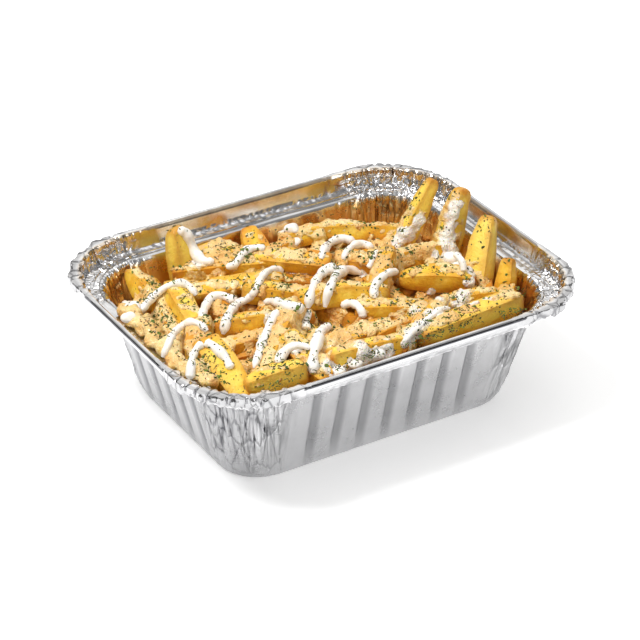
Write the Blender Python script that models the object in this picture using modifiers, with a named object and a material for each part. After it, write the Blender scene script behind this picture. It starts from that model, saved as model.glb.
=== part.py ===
"""Loaded fries in a foil tray: thick fries under sauce, with drizzle and dried herbs, in the
pressed tray they are sold in. Metres, +Z up. The origin is the middle of the tray's flat base,
and the tray's long side runs along X."""

import math
import random

import bmesh
import bpy
from mathutils import Matrix, Vector, noise
from mathutils.bvhtree import BVHTree

MM = 0.001

# Tray, measured outside
LENGTH = 147 * MM
WIDTH = 117.6 * MM
RIM_HEIGHT = 45.2 * MM
LEDGE_HEIGHT = 38.6 * MM
RIM_RADIUS = 29 * MM
LIP_LEAN = 3.5 * MM
LEDGE_WIDTH = 6.5 * MM
HEM_DEPTH = 1.3 * MM
HEM_DROP = 1.7 * MM
BASE_INSET = 20 * MM
BASE_RADIUS = 15 * MM
BASE_ROUNDING = 2.4 * MM
WALL = 0.6 * MM
CORNER_STEPS = 8
PLEAT = 0.45 * MM

# Grooves pressed into the four walls
GROOVE_PITCH = 9.65 * MM
GROOVE_WIDTH = 3.4 * MM
GROOVE_FLOOR = 1.8 * MM
GROOVE_DEPTH = 0.8 * MM
LONG_SIDE_GROOVES = 7
SHORT_SIDE_GROOVES = 5

# Food
GAP = 0.35 * MM
CORE_DROP = 7 * MM
FRY_WIDTH = 8 * MM
FRY_THICKNESS = 8 * MM
END_SLIMMING = 0.1
FILL_FRIES = 29
FILL_DROP = 7.5 * MM
DRIZZLE_RADIUS = 1.5 * MM
FLAKES = 36

# Fries that lie where the eye picks them out: middle x, y and height of the upper face,
# heading and rise in degrees, length and width, and how far it tapers towards its far end, or
# towards its near end where that is negative. All lengths are in millimetres
PLACED_FRIES = (
    (-29.5, 43, 39, 125, 76, 24, 10, 0.4),
    (-48, 35, 39, -80, -14, 24, 9, -0.55),
    (-54, 29, 36, -8, -4, 22, 7.5, -0.3),
    (-60, 9, 34, -84, -3, 27, 7.5, 0),
    (-52, 9, 37, -104, -2, 25, 5.5, 0),
    (-44, 12, 40, -98, -5, 34, 8.5, 0.3),
    (-51, -8, 40, 62, 14, 24, 8.5, 0),
    (-53, -28, 41, -86, -22, 27, 11, 0.15),
    (-59, -14, 34, -80, -4, 17, 7, 0),
    (-38, -12, 38, -10, 0, 28, 6.5, 0),
    (-29, -6, 41, -20, 2, 27, 8.2, 0.4),
    (-31, -23, 41, 43, 8, 47, 8, -0.3),
    (-40, -38, 41, -8, 4, 21, 8.5, -0.35),
    (-26, -34, 41, -84, -12, 24, 9, 0),
    (-8, -31, 41, -2, 3, 32, 8, 0),
    (16, -24, 41, -28, 0, 30, 8.5, 0.25),
    (3, -8, 43, -25, 2, 32, 9.5, 0.3),
    (-13, 4, 42, -35, -3, 26, 8, 0.3),
    (1, 22, 42, -50, 2, 30, 8.5, -0.4),
    (-3, 43, 40, 78, 24, 19, 9, 0.35),
    (23, 37, 39, -19, 2, 31, 7, 0),
    (38, 30, 38, -27, 0, 34, 7.5, 0.35),
    (-19, 33, 39.5, -26, 3, 34, 7, 0),
    (-22, 19, 40, -15, 0, 34, 7.5, 0.35),
    (-17, 44, 40, -5, 2, 18, 7.5, 0.2),
    (22, -3, 42, 48, 10, 28, 6.5, 0),
    (42, 5, 40, -10, 0, 27, 7, 0),
    (37, -13, 42, -31, 0, 25, 8.5, -0.45),
    (48, 19, 43, 6, 54, 34, 7, 0.4),
    (57, 8, 42, 22, 70, 31, 8, 0.3),
    (55, -13, 41, 38, 54, 33, 9.5, 0.45),
    (58, -20, 35, -119, -8, 25, 6, 0),
    (54, -34, 37, -130, -5, 24, 6, 0),
    (31, -42, 43, 6, 0, 42, 8, -0.2),
    (15, -38, 42, 24, 9, 30, 6, 0),
    (-8, -42, 42, -6, 0, 27, 7.5, 0),
    (42, -28, 39, -14, 0, 24, 7, 0),
    (-15, -3, 38, -68, 0, 20, 7.5, 0),
    (11, -33, 40, 4, 0, 24, 7, 0),
    (25, 11, 39, -58, 3, 24, 7, 0),
    (-37, 26, 37, 8, -4, 26, 7, 0),
    (57, -25, 36.5, 40, 66, 19, 6.5, 0.3),
    (-14, 36, 41, -32, 5, 16, 6, 0),
)

# Strands of thick white drizzle: start, crest and end as x, y in millimetres
DRIZZLE = (
    ((-58, 16), (-42, 27), (-30, 8)),
    ((-61, -10), (-47, 2), (-36, -9)),
    ((-60, -24), (-51, -14), (-41, -27)),
    ((-45, -1), (-30, 14), (-22, 6)),
    ((-36, -8), (-25, 6), (-14, -2)),
    ((-38, -36), (-27, -26), (-20, -36)),
    ((-35, -30), (-22, -14), (-12, 2)),
    ((-12, -9), (3, 13), (16, -3)),
    ((-6, -12), (9, 9), (24, -4)),
    ((10, 12), (24, 28), (34, 14)),
    ((19, 9), (30, 23), (42, 10)),
    ((2, -40), (22, -30), (44, -22)),
    ((30, -6), (44, -2), (54, -16)),
)

# Spoonfuls of white sauce: middle x and y, and width, in millimetres
DOLLOPS = ((8, 42, 9), (-60, 23, 10), (-2, -43, 11), (9, -43, 9), (49, 2, 8))


def clear_scene():
    for obj in list(bpy.data.objects):
        bpy.data.objects.remove(obj, do_unlink=True)


def new_collection(name):
    made = bpy.data.collections.new(name)
    bpy.context.scene.collection.children.link(made)
    return made


def material(name, colour, roughness, metallic=0.0):
    made = bpy.data.materials.new(name)
    made.use_nodes = True
    shader = made.node_tree.nodes["Principled BSDF"]
    shader.inputs["Base Color"].default_value = (*colour, 1.0)
    shader.inputs["Roughness"].default_value = roughness
    shader.inputs["Metallic"].default_value = metallic
    return made


def add_object(name, mesh, collection):
    made = bpy.data.objects.new(name, mesh)
    collection.objects.link(made)
    return made


def mesh_of(bm, name):
    mesh = bpy.data.meshes.new(name)
    bm.to_mesh(mesh)
    bm.free()
    return mesh


def outline(inset, radius, height, side_points=(), groove_depth=0.0, pleat=0.0):
    """One level of the tray: a rounded rectangle, this far inside the rim's outline. Every other
    point of its corners is drawn in by the pleat."""
    half = Vector((LENGTH / 2 - inset, WIDTH / 2 - inset))
    points = []
    for quarter in range(4):
        turn = Matrix.Rotation(quarter * math.pi / 2, 2)
        along, across = (half.y, half.x) if quarter % 2 else (half.x, half.y)
        for at, depth in side_points[quarter % 2] if side_points else ():
            points.append(turn @ Vector((-at, -across + depth * groove_depth)))
        corner = Vector((along - radius, -across + radius))
        for step in range(CORNER_STEPS + 1):
            angle = -math.pi / 2 + step / CORNER_STEPS * math.pi / 2
            reach = radius - pleat * (step % 2)
            points.append(turn @ (corner + reach * Vector((math.cos(angle), math.sin(angle)))))
    return [Vector((p.x, p.y, height)) for p in points]


def groove_points(count):
    """Places along a side where its grooves start, bottom out and end, with the depth there."""
    found = []
    for k in reversed(range(count)):
        middle = (k - (count - 1) / 2) * GROOVE_PITCH
        found += [(middle + GROOVE_WIDTH / 2, 0), (middle + GROOVE_FLOOR / 2, 1)]
        found += [(middle - GROOVE_FLOOR / 2, 1), (middle - GROOVE_WIDTH / 2, 0)]
    return found


def loft(bm, rings):
    """Quads between each ring of points and the next, and the rings' vertices."""
    rows = [[bm.verts.new(p) for p in ring] for ring in rings]
    for low, high in zip(rows, rows[1:]):
        for k in range(len(low)):
            j = (k + 1) % len(low)
            bm.faces.new((low[k], low[j], high[j], high[k]))
    return rows


def stitch(bm, fine, coarse):
    """Triangles between two rings that hold unlike numbers of vertices."""
    start = min(range(len(coarse)), key=lambda k: (coarse[k].co - fine[0].co).length)
    coarse = coarse[start:] + coarse[:start]
    i, j = 0, 0
    while i < len(fine) or j < len(coarse):
        a, b = fine[i % len(fine)], coarse[j % len(coarse)]
        next_a, next_b = fine[(i + 1) % len(fine)], coarse[(j + 1) % len(coarse)]
        nearer = (next_a.co - b.co).length <= (next_b.co - a.co).length
        if j == len(coarse) or (i < len(fine) and nearer):
            bm.faces.new((a, next_a, b))
            i += 1
        else:
            bm.faces.new((a, next_b, b))
            j += 1


def build_tray(collection):
    """The foil tray: fluted walls, a flat ledge, a lip that leans out and a folded hem."""
    sides = (groove_points(LONG_SIDE_GROOVES), groove_points(SHORT_SIDE_GROOVES))
    opening = LIP_LEAN + LEDGE_WIDTH
    opening_radius = RIM_RADIUS - opening
    rounded = BASE_INSET + BASE_ROUNDING
    taper = (BASE_INSET - opening) / LEDGE_HEIGHT
    top = LEDGE_HEIGHT - 3.5 * MM
    walls = [
        outline(rounded, BASE_RADIUS - BASE_ROUNDING, 0, sides, 0.0),
        outline(BASE_INSET + 0.7 * MM, BASE_RADIUS - 0.7 * MM, 0.7 * MM, sides, 0.5 * GROOVE_DEPTH),
        outline(BASE_INSET - taper * 4 * MM, BASE_RADIUS, 4 * MM, sides, GROOVE_DEPTH),
        outline(opening + taper * 3.5 * MM, opening_radius, top, sides, 0.6 * GROOVE_DEPTH, PLEAT),
    ]
    rim_top = RIM_HEIGHT - WALL
    rim = [
        outline(opening, opening_radius, LEDGE_HEIGHT, pleat=PLEAT),
        outline(LIP_LEAN, RIM_RADIUS - LIP_LEAN, LEDGE_HEIGHT, pleat=PLEAT),
        outline(HEM_DEPTH + WALL, RIM_RADIUS - HEM_DEPTH - WALL, rim_top, pleat=PLEAT),
        outline(WALL, RIM_RADIUS - WALL, rim_top),
        outline(WALL, RIM_RADIUS - WALL, rim_top - HEM_DROP),
    ]
    bm = bmesh.new()
    wall_rows = loft(bm, walls)
    rim_rows = loft(bm, rim)
    bm.faces.new(wall_rows[0])
    stitch(bm, wall_rows[-1], rim_rows[0])
    bmesh.ops.recalc_face_normals(bm, faces=bm.faces)
    bm.faces.ensure_lookup_table()
    base = min(bm.faces, key=lambda face: face.calc_center_median().z)
    if base.normal.z > 0:
        bmesh.ops.reverse_faces(bm, faces=bm.faces)
    tray = add_object("foil_tray", mesh_of(bm, "foil_tray"), collection)
    shell = tray.modifiers.new("Wall thickness", "SOLIDIFY")
    shell.thickness = WALL
    shell.offset = -1
    shell.use_quality_normals = True
    tray.data.materials.append(material("foil", (0.80, 0.80, 0.81), 0.28, 1.0))
    tray.data.shade_smooth()
    tray.data.set_sharp_from_angle(angle=math.radians(25))
    return tray


def room(point):
    """How far inside the tray's free space a point lies, and the way from it to the middle."""
    opening = LIP_LEAN + LEDGE_WIDTH
    if point.z < LEDGE_HEIGHT + WALL + GAP + 0.3 * MM:
        share = min(max(point.z / LEDGE_HEIGHT, 0), 1)
        inset = BASE_INSET + (opening - BASE_INSET) * share
        radius = BASE_RADIUS + (RIM_RADIUS - opening - BASE_RADIUS) * share
        inset += GROOVE_DEPTH + max(0, 4 * MM - point.z)
    else:
        inset = LIP_LEAN
        radius = RIM_RADIUS - LIP_LEAN
    inset += WALL + GAP + PLEAT / 2
    corner = Vector((LENGTH / 2 - inset - radius, WIDTH / 2 - inset - radius))
    past = Vector((max(abs(point.x) - corner.x, 0), max(abs(point.y) - corner.y, 0)))
    if past.length < 1e-9:
        return radius, Vector((0, 0, 0))
    inward = Vector((-math.copysign(past.x, point.x), -math.copysign(past.y, point.y), 0))
    return radius - past.length, inward.normalized()


def surface_height(x, y):
    """The level of the heap: full in the middle and along the front, lower at three walls."""
    ends = abs(x / (LENGTH / 2)) ** 4
    back = max(0, y / (WIDTH / 2)) ** 3
    front = max(0, -y / (WIDTH / 2)) ** 3
    return (39.5 - 7 * ends - 4 * back + 3 * front) * MM


def build_core(collection):
    """The packed food under the fries that show, clear of the tray all round."""
    heights = (WALL + GAP, 4.2 * MM, 27 * MM)
    steps = 10
    bm = bmesh.new()
    rings = []
    for height in heights:
        ring = []
        for k in range(4 * steps):
            angle = 2 * math.pi * k / (4 * steps)
            spot = Vector((math.cos(angle) * LENGTH, math.sin(angle) * WIDTH, height))
            for _ in range(40):
                space, inward = room(spot)
                if space >= 0:
                    break
                spot += inward * (-space + 1e-6)
            ring.append(spot)
        rings.append(ring)
    for share in (0.86, 0.6, 0.3):
        ring = []
        for spot in rings[2]:
            x, y = spot.x * share, spot.y * share
            bump = 1.2 * MM * noise.noise(Vector((x, y, 0)) / (9 * MM))
            ring.append(Vector((x, y, surface_height(x, y) - CORE_DROP + bump)))
        rings.append(ring)
    rows = loft(bm, rings)
    bm.faces.new(rows[0])
    bm.faces.new(rows[-1])
    bmesh.ops.recalc_face_normals(bm, faces=bm.faces)
    return add_object("loaded_fries", mesh_of(bm, "loaded_fries"), collection)


def fry_mesh(length, width, thickness, bow, taper, rng):
    """A thick-cut fry: a bar with cut corners, a little bowed, uneven and slimmer at its ends."""
    bm = bmesh.new()
    bmesh.ops.create_cube(bm, size=1.0)
    long_edges = [e for e in bm.edges if abs(e.verts[0].co.x - e.verts[1].co.x) > 0.5]
    bmesh.ops.subdivide_edges(bm, edges=long_edges, cuts=1)
    bmesh.ops.scale(bm, vec=(length, width, thickness), verts=bm.verts)
    edges = [e for e in bm.edges if len(e.link_faces) == 2 and e.calc_face_angle() > 1]
    bmesh.ops.bevel(bm, geom=edges, offset=0.22 * thickness, segments=1, affect="EDGES")
    lean = rng.uniform(-0.12, 0.12)
    narrow = rng.uniform(0.0, 0.4)
    if taper:
        narrow = abs(taper)
    for v in bm.verts:
        share = v.co.x / (length / 2)
        towards = -share if taper < 0 else share
        size = (1 - narrow * max(towards, 0) ** 2) * (1 - END_SLIMMING * share * share)
        v.co.y = v.co.y * size + lean * thickness * share
        v.co.z = v.co.z * size + bow * (share * share - 0.4)
    return bm


def move_clear(bm):
    """Moves a piece in from the tray until all of its edges are clear of it."""
    for _ in range(60):
        spots = [e.verts[0].co.lerp(e.verts[1].co, k / 6) for e in bm.edges for k in range(6)]
        worst, way = min((room(spot) for spot in spots), key=lambda found: found[0])
        if worst >= 0:
            return
        bmesh.ops.translate(bm, vec=way * (-worst + 1e-5), verts=bm.verts)


def add_fry(collection, at, heading, rise, length, width, thickness, roll, bow, taper, rng):
    """Lays one fry, then moves it in from the tray until every corner is clear."""
    bm = fry_mesh(length, width, thickness, bow, taper, rng)
    turn = Matrix.Rotation(heading, 4, "Z") @ Matrix.Rotation(-rise, 4, "Y")
    bm.transform(Matrix.Translation(at) @ turn @ Matrix.Rotation(roll, 4, "X"))
    move_clear(bm)
    return add_object("fry", mesh_of(bm, "fry"), collection)


def lay_fries(collection, rng):
    for x, y, top, heading, rise, length, width, taper in PLACED_FRIES:
        thickness = min(FRY_THICKNESS, width * MM) * rng.uniform(0.9, 1.0)
        sunk = thickness / 2 * math.cos(math.radians(rise))
        at = Vector((x * MM, y * MM, top * MM - sunk))
        add_fry(
            collection, at, math.radians(heading), math.radians(rise), length * MM, width * MM,
            thickness, math.radians(rng.uniform(-22, 22)), rng.uniform(-1.2, 0.5) * MM, taper, rng,
        )
    golden = math.pi * (3 - math.sqrt(5))
    for k in range(FILL_FRIES):
        reach = math.sqrt((k + 0.5) / FILL_FRIES)
        x = 0.40 * LENGTH * reach * math.cos(k * golden)
        y = 0.37 * WIDTH * reach * math.sin(k * golden)
        at = Vector((x, y, surface_height(x, y) - FILL_DROP))
        add_fry(
            collection, at, rng.uniform(0, math.pi), rng.uniform(-0.12, 0.12),
            rng.uniform(26, 38) * MM, FRY_WIDTH * rng.uniform(0.85, 1.05), FRY_THICKNESS,
            rng.uniform(-0.4, 0.4), -0.6 * MM, 0, rng,
        )


def joined_tree(collection):
    """A search tree over all the pieces laid so far."""
    points, faces = [], []
    for obj in collection.objects:
        start = len(points)
        points += [v.co.copy() for v in obj.data.vertices]
        faces += [[start + i for i in p.vertices] for p in obj.data.polygons]
    return BVHTree.FromPolygons(points, faces)


def top_of(tree, x, y):
    hit, normal, _, _ = tree.ray_cast(Vector((x, y, 0.2)), Vector((0, 0, -1)))
    if hit is None:
        return None, None
    return hit, normal


def tube(points, radius, name, collection):
    """A round strand through the points, as a mesh with closed ends."""
    curve = bpy.data.curves.new(name, "CURVE")
    curve.dimensions = "3D"
    curve.bevel_depth = radius
    curve.bevel_resolution = 1
    curve.use_fill_caps = True
    spline = curve.splines.new("POLY")
    spline.points.add(len(points) - 1)
    for k, point in enumerate(points):
        spline.points[k].co = (*point, 1)
        spline.points[k].radius = 0.6 if k in (0, len(points) - 1) else 1.0
    holder = add_object(name, curve, collection)
    graph = bpy.context.evaluated_depsgraph_get()
    mesh = bpy.data.meshes.new_from_object(holder.evaluated_get(graph))
    bpy.data.objects.remove(holder, do_unlink=True)
    bm = bmesh.new()
    bm.from_mesh(mesh)
    bmesh.ops.remove_doubles(bm, verts=bm.verts, dist=0.01 * MM)
    bmesh.ops.recalc_face_normals(bm, faces=bm.faces)
    return add_object(name, mesh_of(bm, name), collection)


def lay_drizzle(collection, tree):
    steps = 9
    for start, crest, end in DRIZZLE:
        a, b, c = (Vector(p) * MM for p in (start, crest, end))
        b = 2 * b - (a + c) / 2
        path = []
        for k in range(steps):
            t = k / (steps - 1)
            flat = (1 - t) ** 2 * a + 2 * t * (1 - t) * b + t * t * c
            hit, _ = top_of(tree, flat.x, flat.y)
            level = hit.z if hit else surface_height(flat.x, flat.y)
            path.append(Vector((flat.x, flat.y, level)))
        heights = [p.z for p in path]
        for k, point in enumerate(path):
            near = heights[max(0, k - 1) : k + 2]
            point.z = max(heights[k], sum(near) / len(near)) + 0.5 * DRIZZLE_RADIUS
        path = [p for p in path if room(p - Vector((0, 0, DRIZZLE_RADIUS)))[0] > 2 * DRIZZLE_RADIUS]
        if len(path) > 3:
            tube(path, DRIZZLE_RADIUS, "drizzle", collection)


def lay_dollops(collection, tree):
    for x, y, width in DOLLOPS:
        hit, _ = top_of(tree, x * MM, y * MM)
        size = Matrix.Diagonal((width / 2 * MM, width / 2 * MM, width / 3 * MM, 1))
        bm = bmesh.new()
        bmesh.ops.create_icosphere(bm, subdivisions=1, radius=1.0, matrix=size)
        level = hit.z if hit else surface_height(x * MM, y * MM)
        bmesh.ops.translate(bm, vec=Vector((x * MM, y * MM, level)), verts=bm.verts)
        move_clear(bm)
        add_object("dollop", mesh_of(bm, "dollop"), collection)


def lay_flakes(collection, tree, rng):
    """The larger flakes of dried herb, each half sunk in what it lies on."""
    laid = 0
    while laid < FLAKES:
        x = rng.uniform(-0.38, 0.38) * LENGTH
        y = rng.uniform(-0.36, 0.36) * WIDTH
        hit, normal = top_of(tree, x, y)
        if hit is None or normal.z < 0.5:
            continue
        bm = bmesh.new()
        size = (rng.uniform(1.8, 2.8) * MM, rng.uniform(0.8, 1.2) * MM, 0.9 * MM)
        bmesh.ops.create_cube(bm, size=1.0, matrix=Matrix.Diagonal((*size, 1)))
        turn = normal.to_track_quat("Z", "Y").to_matrix().to_4x4()
        spin = Matrix.Rotation(rng.uniform(0, math.pi), 4, "Z")
        bm.transform(Matrix.Translation(hit) @ turn @ spin)
        clear = all(room(v.co)[0] > 0 for v in bm.verts)
        if not clear:
            bm.free()
            continue
        add_object("flake", mesh_of(bm, "flake"), collection)
        laid += 1


def keep_outer_body(obj):
    """Leaves one body: loose scraps go, and hollows that fusing sealed are filled."""
    bm = bmesh.new()
    bm.from_mesh(obj.data)
    bmesh.ops.triangulate(bm, faces=bm.faces)
    left = set(bm.verts)
    islands = []
    while left:
        reached = {left.pop()}
        edge = list(reached)
        while edge:
            vert = edge.pop()
            for link in vert.link_edges:
                other = link.other_vert(vert)
                if other not in reached:
                    reached.add(other)
                    edge.append(other)
        left -= reached
        islands.append(reached)
    largest = max(islands, key=len)
    bmesh.ops.delete(bm, geom=[v for v in bm.verts if v not in largest], context="VERTS")
    bm.to_mesh(obj.data)
    bm.free()


def fuse(target, pieces):
    join = target.modifiers.new("Fuse", "BOOLEAN")
    join.operation = "UNION"
    join.operand_type = "COLLECTION"
    join.collection = pieces
    join.solver = "EXACT"
    graph = bpy.context.evaluated_depsgraph_get()
    mesh = bpy.data.meshes.new_from_object(target.evaluated_get(graph))
    target.modifiers.clear()
    target.data = mesh
    for obj in list(pieces.objects):
        bpy.data.objects.remove(obj, do_unlink=True)
    bpy.data.collections.remove(pieces)
    keep_outer_body(target)


def build_food(collection):
    """The heap: a packed core with the fries, drizzle, dollops and flakes that show."""
    rng = random.Random(7)
    core = build_core(collection)
    pieces = new_collection("pieces")
    lay_fries(pieces, rng)
    tree = joined_tree(pieces)
    lay_drizzle(pieces, tree)
    lay_dollops(pieces, tree)
    lay_flakes(pieces, tree, rng)
    fuse(core, pieces)
    core.data.materials.clear()
    core.data.materials.append(material("fries", (0.86, 0.52, 0.16), 0.45))
    core.data.shade_smooth()
    core.data.set_sharp_from_angle(angle=math.radians(35))
    return core


def main():
    clear_scene()
    meal = new_collection("foil_tray_meal")
    build_tray(meal)
    build_food(meal)


main()
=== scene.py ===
"""Loaded fries in a foil tray: thick fries under a peach sauce, with white drizzle, dried herbs
and pepper, in the stamped tray they are sold in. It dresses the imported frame, in metres, +Z up."""

import math
import random

import bmesh
import bpy
import numpy as np
from mathutils import Matrix, Vector, noise
from mathutils.bvhtree import BVHTree


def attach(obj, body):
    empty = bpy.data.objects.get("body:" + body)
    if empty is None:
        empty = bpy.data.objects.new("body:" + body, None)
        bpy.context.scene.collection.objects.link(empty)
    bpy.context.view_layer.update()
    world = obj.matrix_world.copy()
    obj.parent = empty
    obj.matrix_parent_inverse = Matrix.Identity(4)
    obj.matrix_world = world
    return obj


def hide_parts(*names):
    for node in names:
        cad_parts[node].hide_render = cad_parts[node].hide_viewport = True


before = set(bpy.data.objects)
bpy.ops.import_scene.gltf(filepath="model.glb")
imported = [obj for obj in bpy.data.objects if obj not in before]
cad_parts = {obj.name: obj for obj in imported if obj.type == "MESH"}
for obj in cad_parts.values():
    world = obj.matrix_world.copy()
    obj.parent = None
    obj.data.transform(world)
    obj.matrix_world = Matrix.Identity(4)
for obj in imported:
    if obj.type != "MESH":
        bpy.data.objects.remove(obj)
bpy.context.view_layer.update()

# Camera
# A long lens looks down on the tray's front left corner. Its place comes from the straight
# edges of the tray in the photograph, and is counted in lengths of the tray.
TRAY_LENGTH = 0.147
CAMERA_TURN = math.radians(-31.1997)
CAMERA_RISE = math.radians(30.6627)
CAMERA_DISTANCE = 5.9656994
CAMERA_ASIDE = -0.0023613
CAMERA_ABOVE = 0.1569161
FOCAL_LENGTH_MM = 145.6
SENSOR_WIDTH_MM = 36
PHOTO_MIDDLE = 320
FOCAL_LENGTH_PIXELS = FOCAL_LENGTH_MM / SENSOR_WIDTH_MM * 2 * PHOTO_MIDDLE
RIM_LEVEL = 0.036

back = Vector(
    (
        math.sin(CAMERA_TURN) * math.cos(CAMERA_RISE),
        -math.cos(CAMERA_TURN) * math.cos(CAMERA_RISE),
        math.sin(CAMERA_RISE),
    )
)
right = Vector((math.cos(CAMERA_TURN), math.sin(CAMERA_TURN), 0))
above = back.cross(right)
camera_data = bpy.data.cameras.new("camera")
camera_data.sensor_width = SENSOR_WIDTH_MM
camera_data.lens = FOCAL_LENGTH_MM
camera_data.clip_start = 0.01
camera = bpy.data.objects.new("camera", camera_data)
stand = Matrix((right, above, back)).transposed().to_4x4()
stand.translation = TRAY_LENGTH * (
    CAMERA_ASIDE * right + CAMERA_ABOVE * above + CAMERA_DISTANCE * back
)
camera.matrix_world = stand
bpy.context.scene.collection.objects.link(camera)
bpy.context.scene.camera = camera
bpy.context.scene.view_settings.view_transform = "Standard"


def sight_line(across, down):
    """The way from the camera through a place in the photograph, in its pixels."""
    way = right * (across - PHOTO_MIDDLE) - above * (down - PHOTO_MIDDLE)
    return (way - back * FOCAL_LENGTH_PIXELS).normalized()


def seen_at(tree, across, down):
    """The place on a search tree's surface that shows there, or the nearest to it at rim level."""
    line = sight_line(across, down)
    hit, _, _, _ = tree.ray_cast(stand.translation, line)
    if hit is None:
        level = stand.translation + line * ((RIM_LEVEL - stand.translation.z) / line.z)
        hit, _, _, _ = tree.find_nearest(level)
    return hit


# Floor and studio light
# A plain white sweep, a soft key from the left and behind, and a wide fill from the front.
# The light room is a shade darker to one side, so that the foil has something to reflect.
class Net:
    """A socket in a node tree. Sums on it add Math nodes, and node() adds any other node."""

    def __init__(self, tree, socket=None):
        self.tree = tree
        self.socket = socket

    def node(self, kind, settings=None, values=None, output=0):
        made = self.tree.nodes.new(kind)
        for name, value in (settings or {}).items():
            if name == "stops":
                ramp = made.color_ramp.elements
                while len(ramp) < len(value):
                    ramp.new(1.0)
                for stop, (place, colour) in zip(ramp, value):
                    stop.position = place
                    stop.color = (*colour, 1)
            else:
                setattr(made, name, value)
        for name, value in (values or {}).items():
            if isinstance(value, Net):
                self.tree.links.new(value.socket, made.inputs[name])
            else:
                made.inputs[name].default_value = value
        return Net(self.tree, made.outputs[output])

    def sum_of(self, operation, first, second=0.0, clamp=False):
        settings = {"operation": operation, "use_clamp": clamp}
        return self.node("ShaderNodeMath", settings, {0: first, 1: second})

    def __add__(self, other):
        return self.sum_of("ADD", self, other)

    def __sub__(self, other):
        return self.sum_of("SUBTRACT", self, other)

    def __rsub__(self, other):
        return self.sum_of("SUBTRACT", other, self)

    def __mul__(self, other):
        return self.sum_of("MULTIPLY", self, other)

    __radd__ = __add__
    __rmul__ = __mul__

    def clipped(self):
        return self.sum_of("ADD", self, 0.0, clamp=True)

    def between(self, low, high):
        """0 below low, 1 above high, and smooth from one to the other."""
        settings = {"interpolation_type": "SMOOTHSTEP"}
        values = {"Value": self, "From Min": low, "From Max": high}
        return self.node("ShaderNodeMapRange", settings, values)

    def mix(self, share, first, second):
        settings = {"data_type": "RGBA"}
        return self.node("ShaderNodeMix", settings, {0: share, 6: first, 7: second}, 2)

    def noise(self, place, scale, detail=2.0, roughness=0.5):
        values = {"Vector": place, "Scale": scale, "Detail": detail, "Roughness": roughness}
        return self.node("ShaderNodeTexNoise", None, values)

    def spot(self):
        """The place on the piece, in its object coordinates."""
        return self.node("ShaderNodeTexCoord", output=3)

    def axis_of(self, vector, axis):
        return self.node("ShaderNodeSeparateXYZ", None, {0: vector}, axis)

    def mark(self, name):
        """The number that each point of the mesh carries under this name."""
        return self.node("ShaderNodeAttribute", {"attribute_name": name}, output=2)

    def relief(self, height, strength, distance):
        values = {"Height": height, "Strength": strength, "Distance": distance}
        return self.node("ShaderNodeBump", None, values)


def finish_of(name, settings):
    """A new Principled material with these settings, its node tree as a Net, and its shader."""
    made = bpy.data.materials.new(name)
    made.use_nodes = True
    shader = made.node_tree.nodes["Principled BSDF"]
    for socket, value in settings.items():
        shader.inputs[socket].default_value = value
    return made, Net(made.node_tree), shader


def wire(value, socket):
    value.tree.links.new(value.socket, socket)


def mesh_from(made, name):
    """A new mesh from a bmesh, which goes."""
    mesh = bpy.data.meshes.new(name)
    made.to_mesh(mesh)
    made.free()
    return mesh


WHITE_FLOOR = (0.95, 0.95, 0.95, 1)
floor_finish, _, _ = finish_of(
    "white_sweep",
    {
        "Base Color": WHITE_FLOOR,
        "Roughness": 0.9,
        "Specular IOR Level": 0.1,
        "Emission Color": WHITE_FLOOR,
        "Emission Strength": 0.37,
    },
)
bm = bmesh.new()
bmesh.ops.create_grid(bm, x_segments=1, y_segments=1, size=3.0)
floor_mesh = mesh_from(bm, "floor")
floor = bpy.data.objects.new("floor", floor_mesh)
floor_mesh.materials.append(floor_finish)
bpy.context.scene.collection.objects.link(floor)

# Each lamp's name, its place and width in metres, and its power in watts
LIGHTS = (
    ("key", (-0.46, 0.12, 0.98), 0.34, 9.2),
    ("overhead", (0.05, -0.10, 1.10), 0.90, 2.3),
    ("fill", (0.10, -1.20, 0.60), 0.70, 2.4),
)
for name, place, size, power in LIGHTS:
    lamp_data = bpy.data.lights.new(name, "AREA")
    lamp_data.shape = "DISK"
    lamp_data.size = size
    lamp_data.energy = power
    lamp = bpy.data.objects.new(name, lamp_data)
    lamp.location = place
    lamp.rotation_euler = (-Vector(place)).to_track_quat("-Z", "Y").to_euler()
    bpy.context.scene.collection.objects.link(lamp)
PANEL_WAY = (0.44, 0.70, 0.56)  # where the room's bright panel hangs
world = bpy.data.worlds.new("light_room")
world.use_nodes = True
bpy.context.scene.world = world
room_net = Net(world.node_tree)
direction = room_net.node("ShaderNodeTexCoord", output=0)
sideways = room_net.axis_of(direction, 0)
upwards = room_net.axis_of(direction, 2)
values = {"Value": sideways, "From Min": -1.0, "To Min": 0.44, "To Max": 0.28}
brightness = room_net.node("ShaderNodeMapRange", None, values)
brightness = brightness * (0.25 + 0.9 * upwards.between(0.05, 0.6))
towards_panel = room_net.node(
    "ShaderNodeVectorMath", {"operation": "DOT_PRODUCT"}, {0: direction, 1: PANEL_WAY}, 1
)
brightness = brightness + 0.75 * towards_panel.between(0.78, 0.95)
backdrop = world.node_tree.nodes["Background"]
backdrop.inputs["Color"].default_value = (1.0, 0.99, 0.97, 1)
wire(brightness, backdrop.inputs["Strength"])

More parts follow.
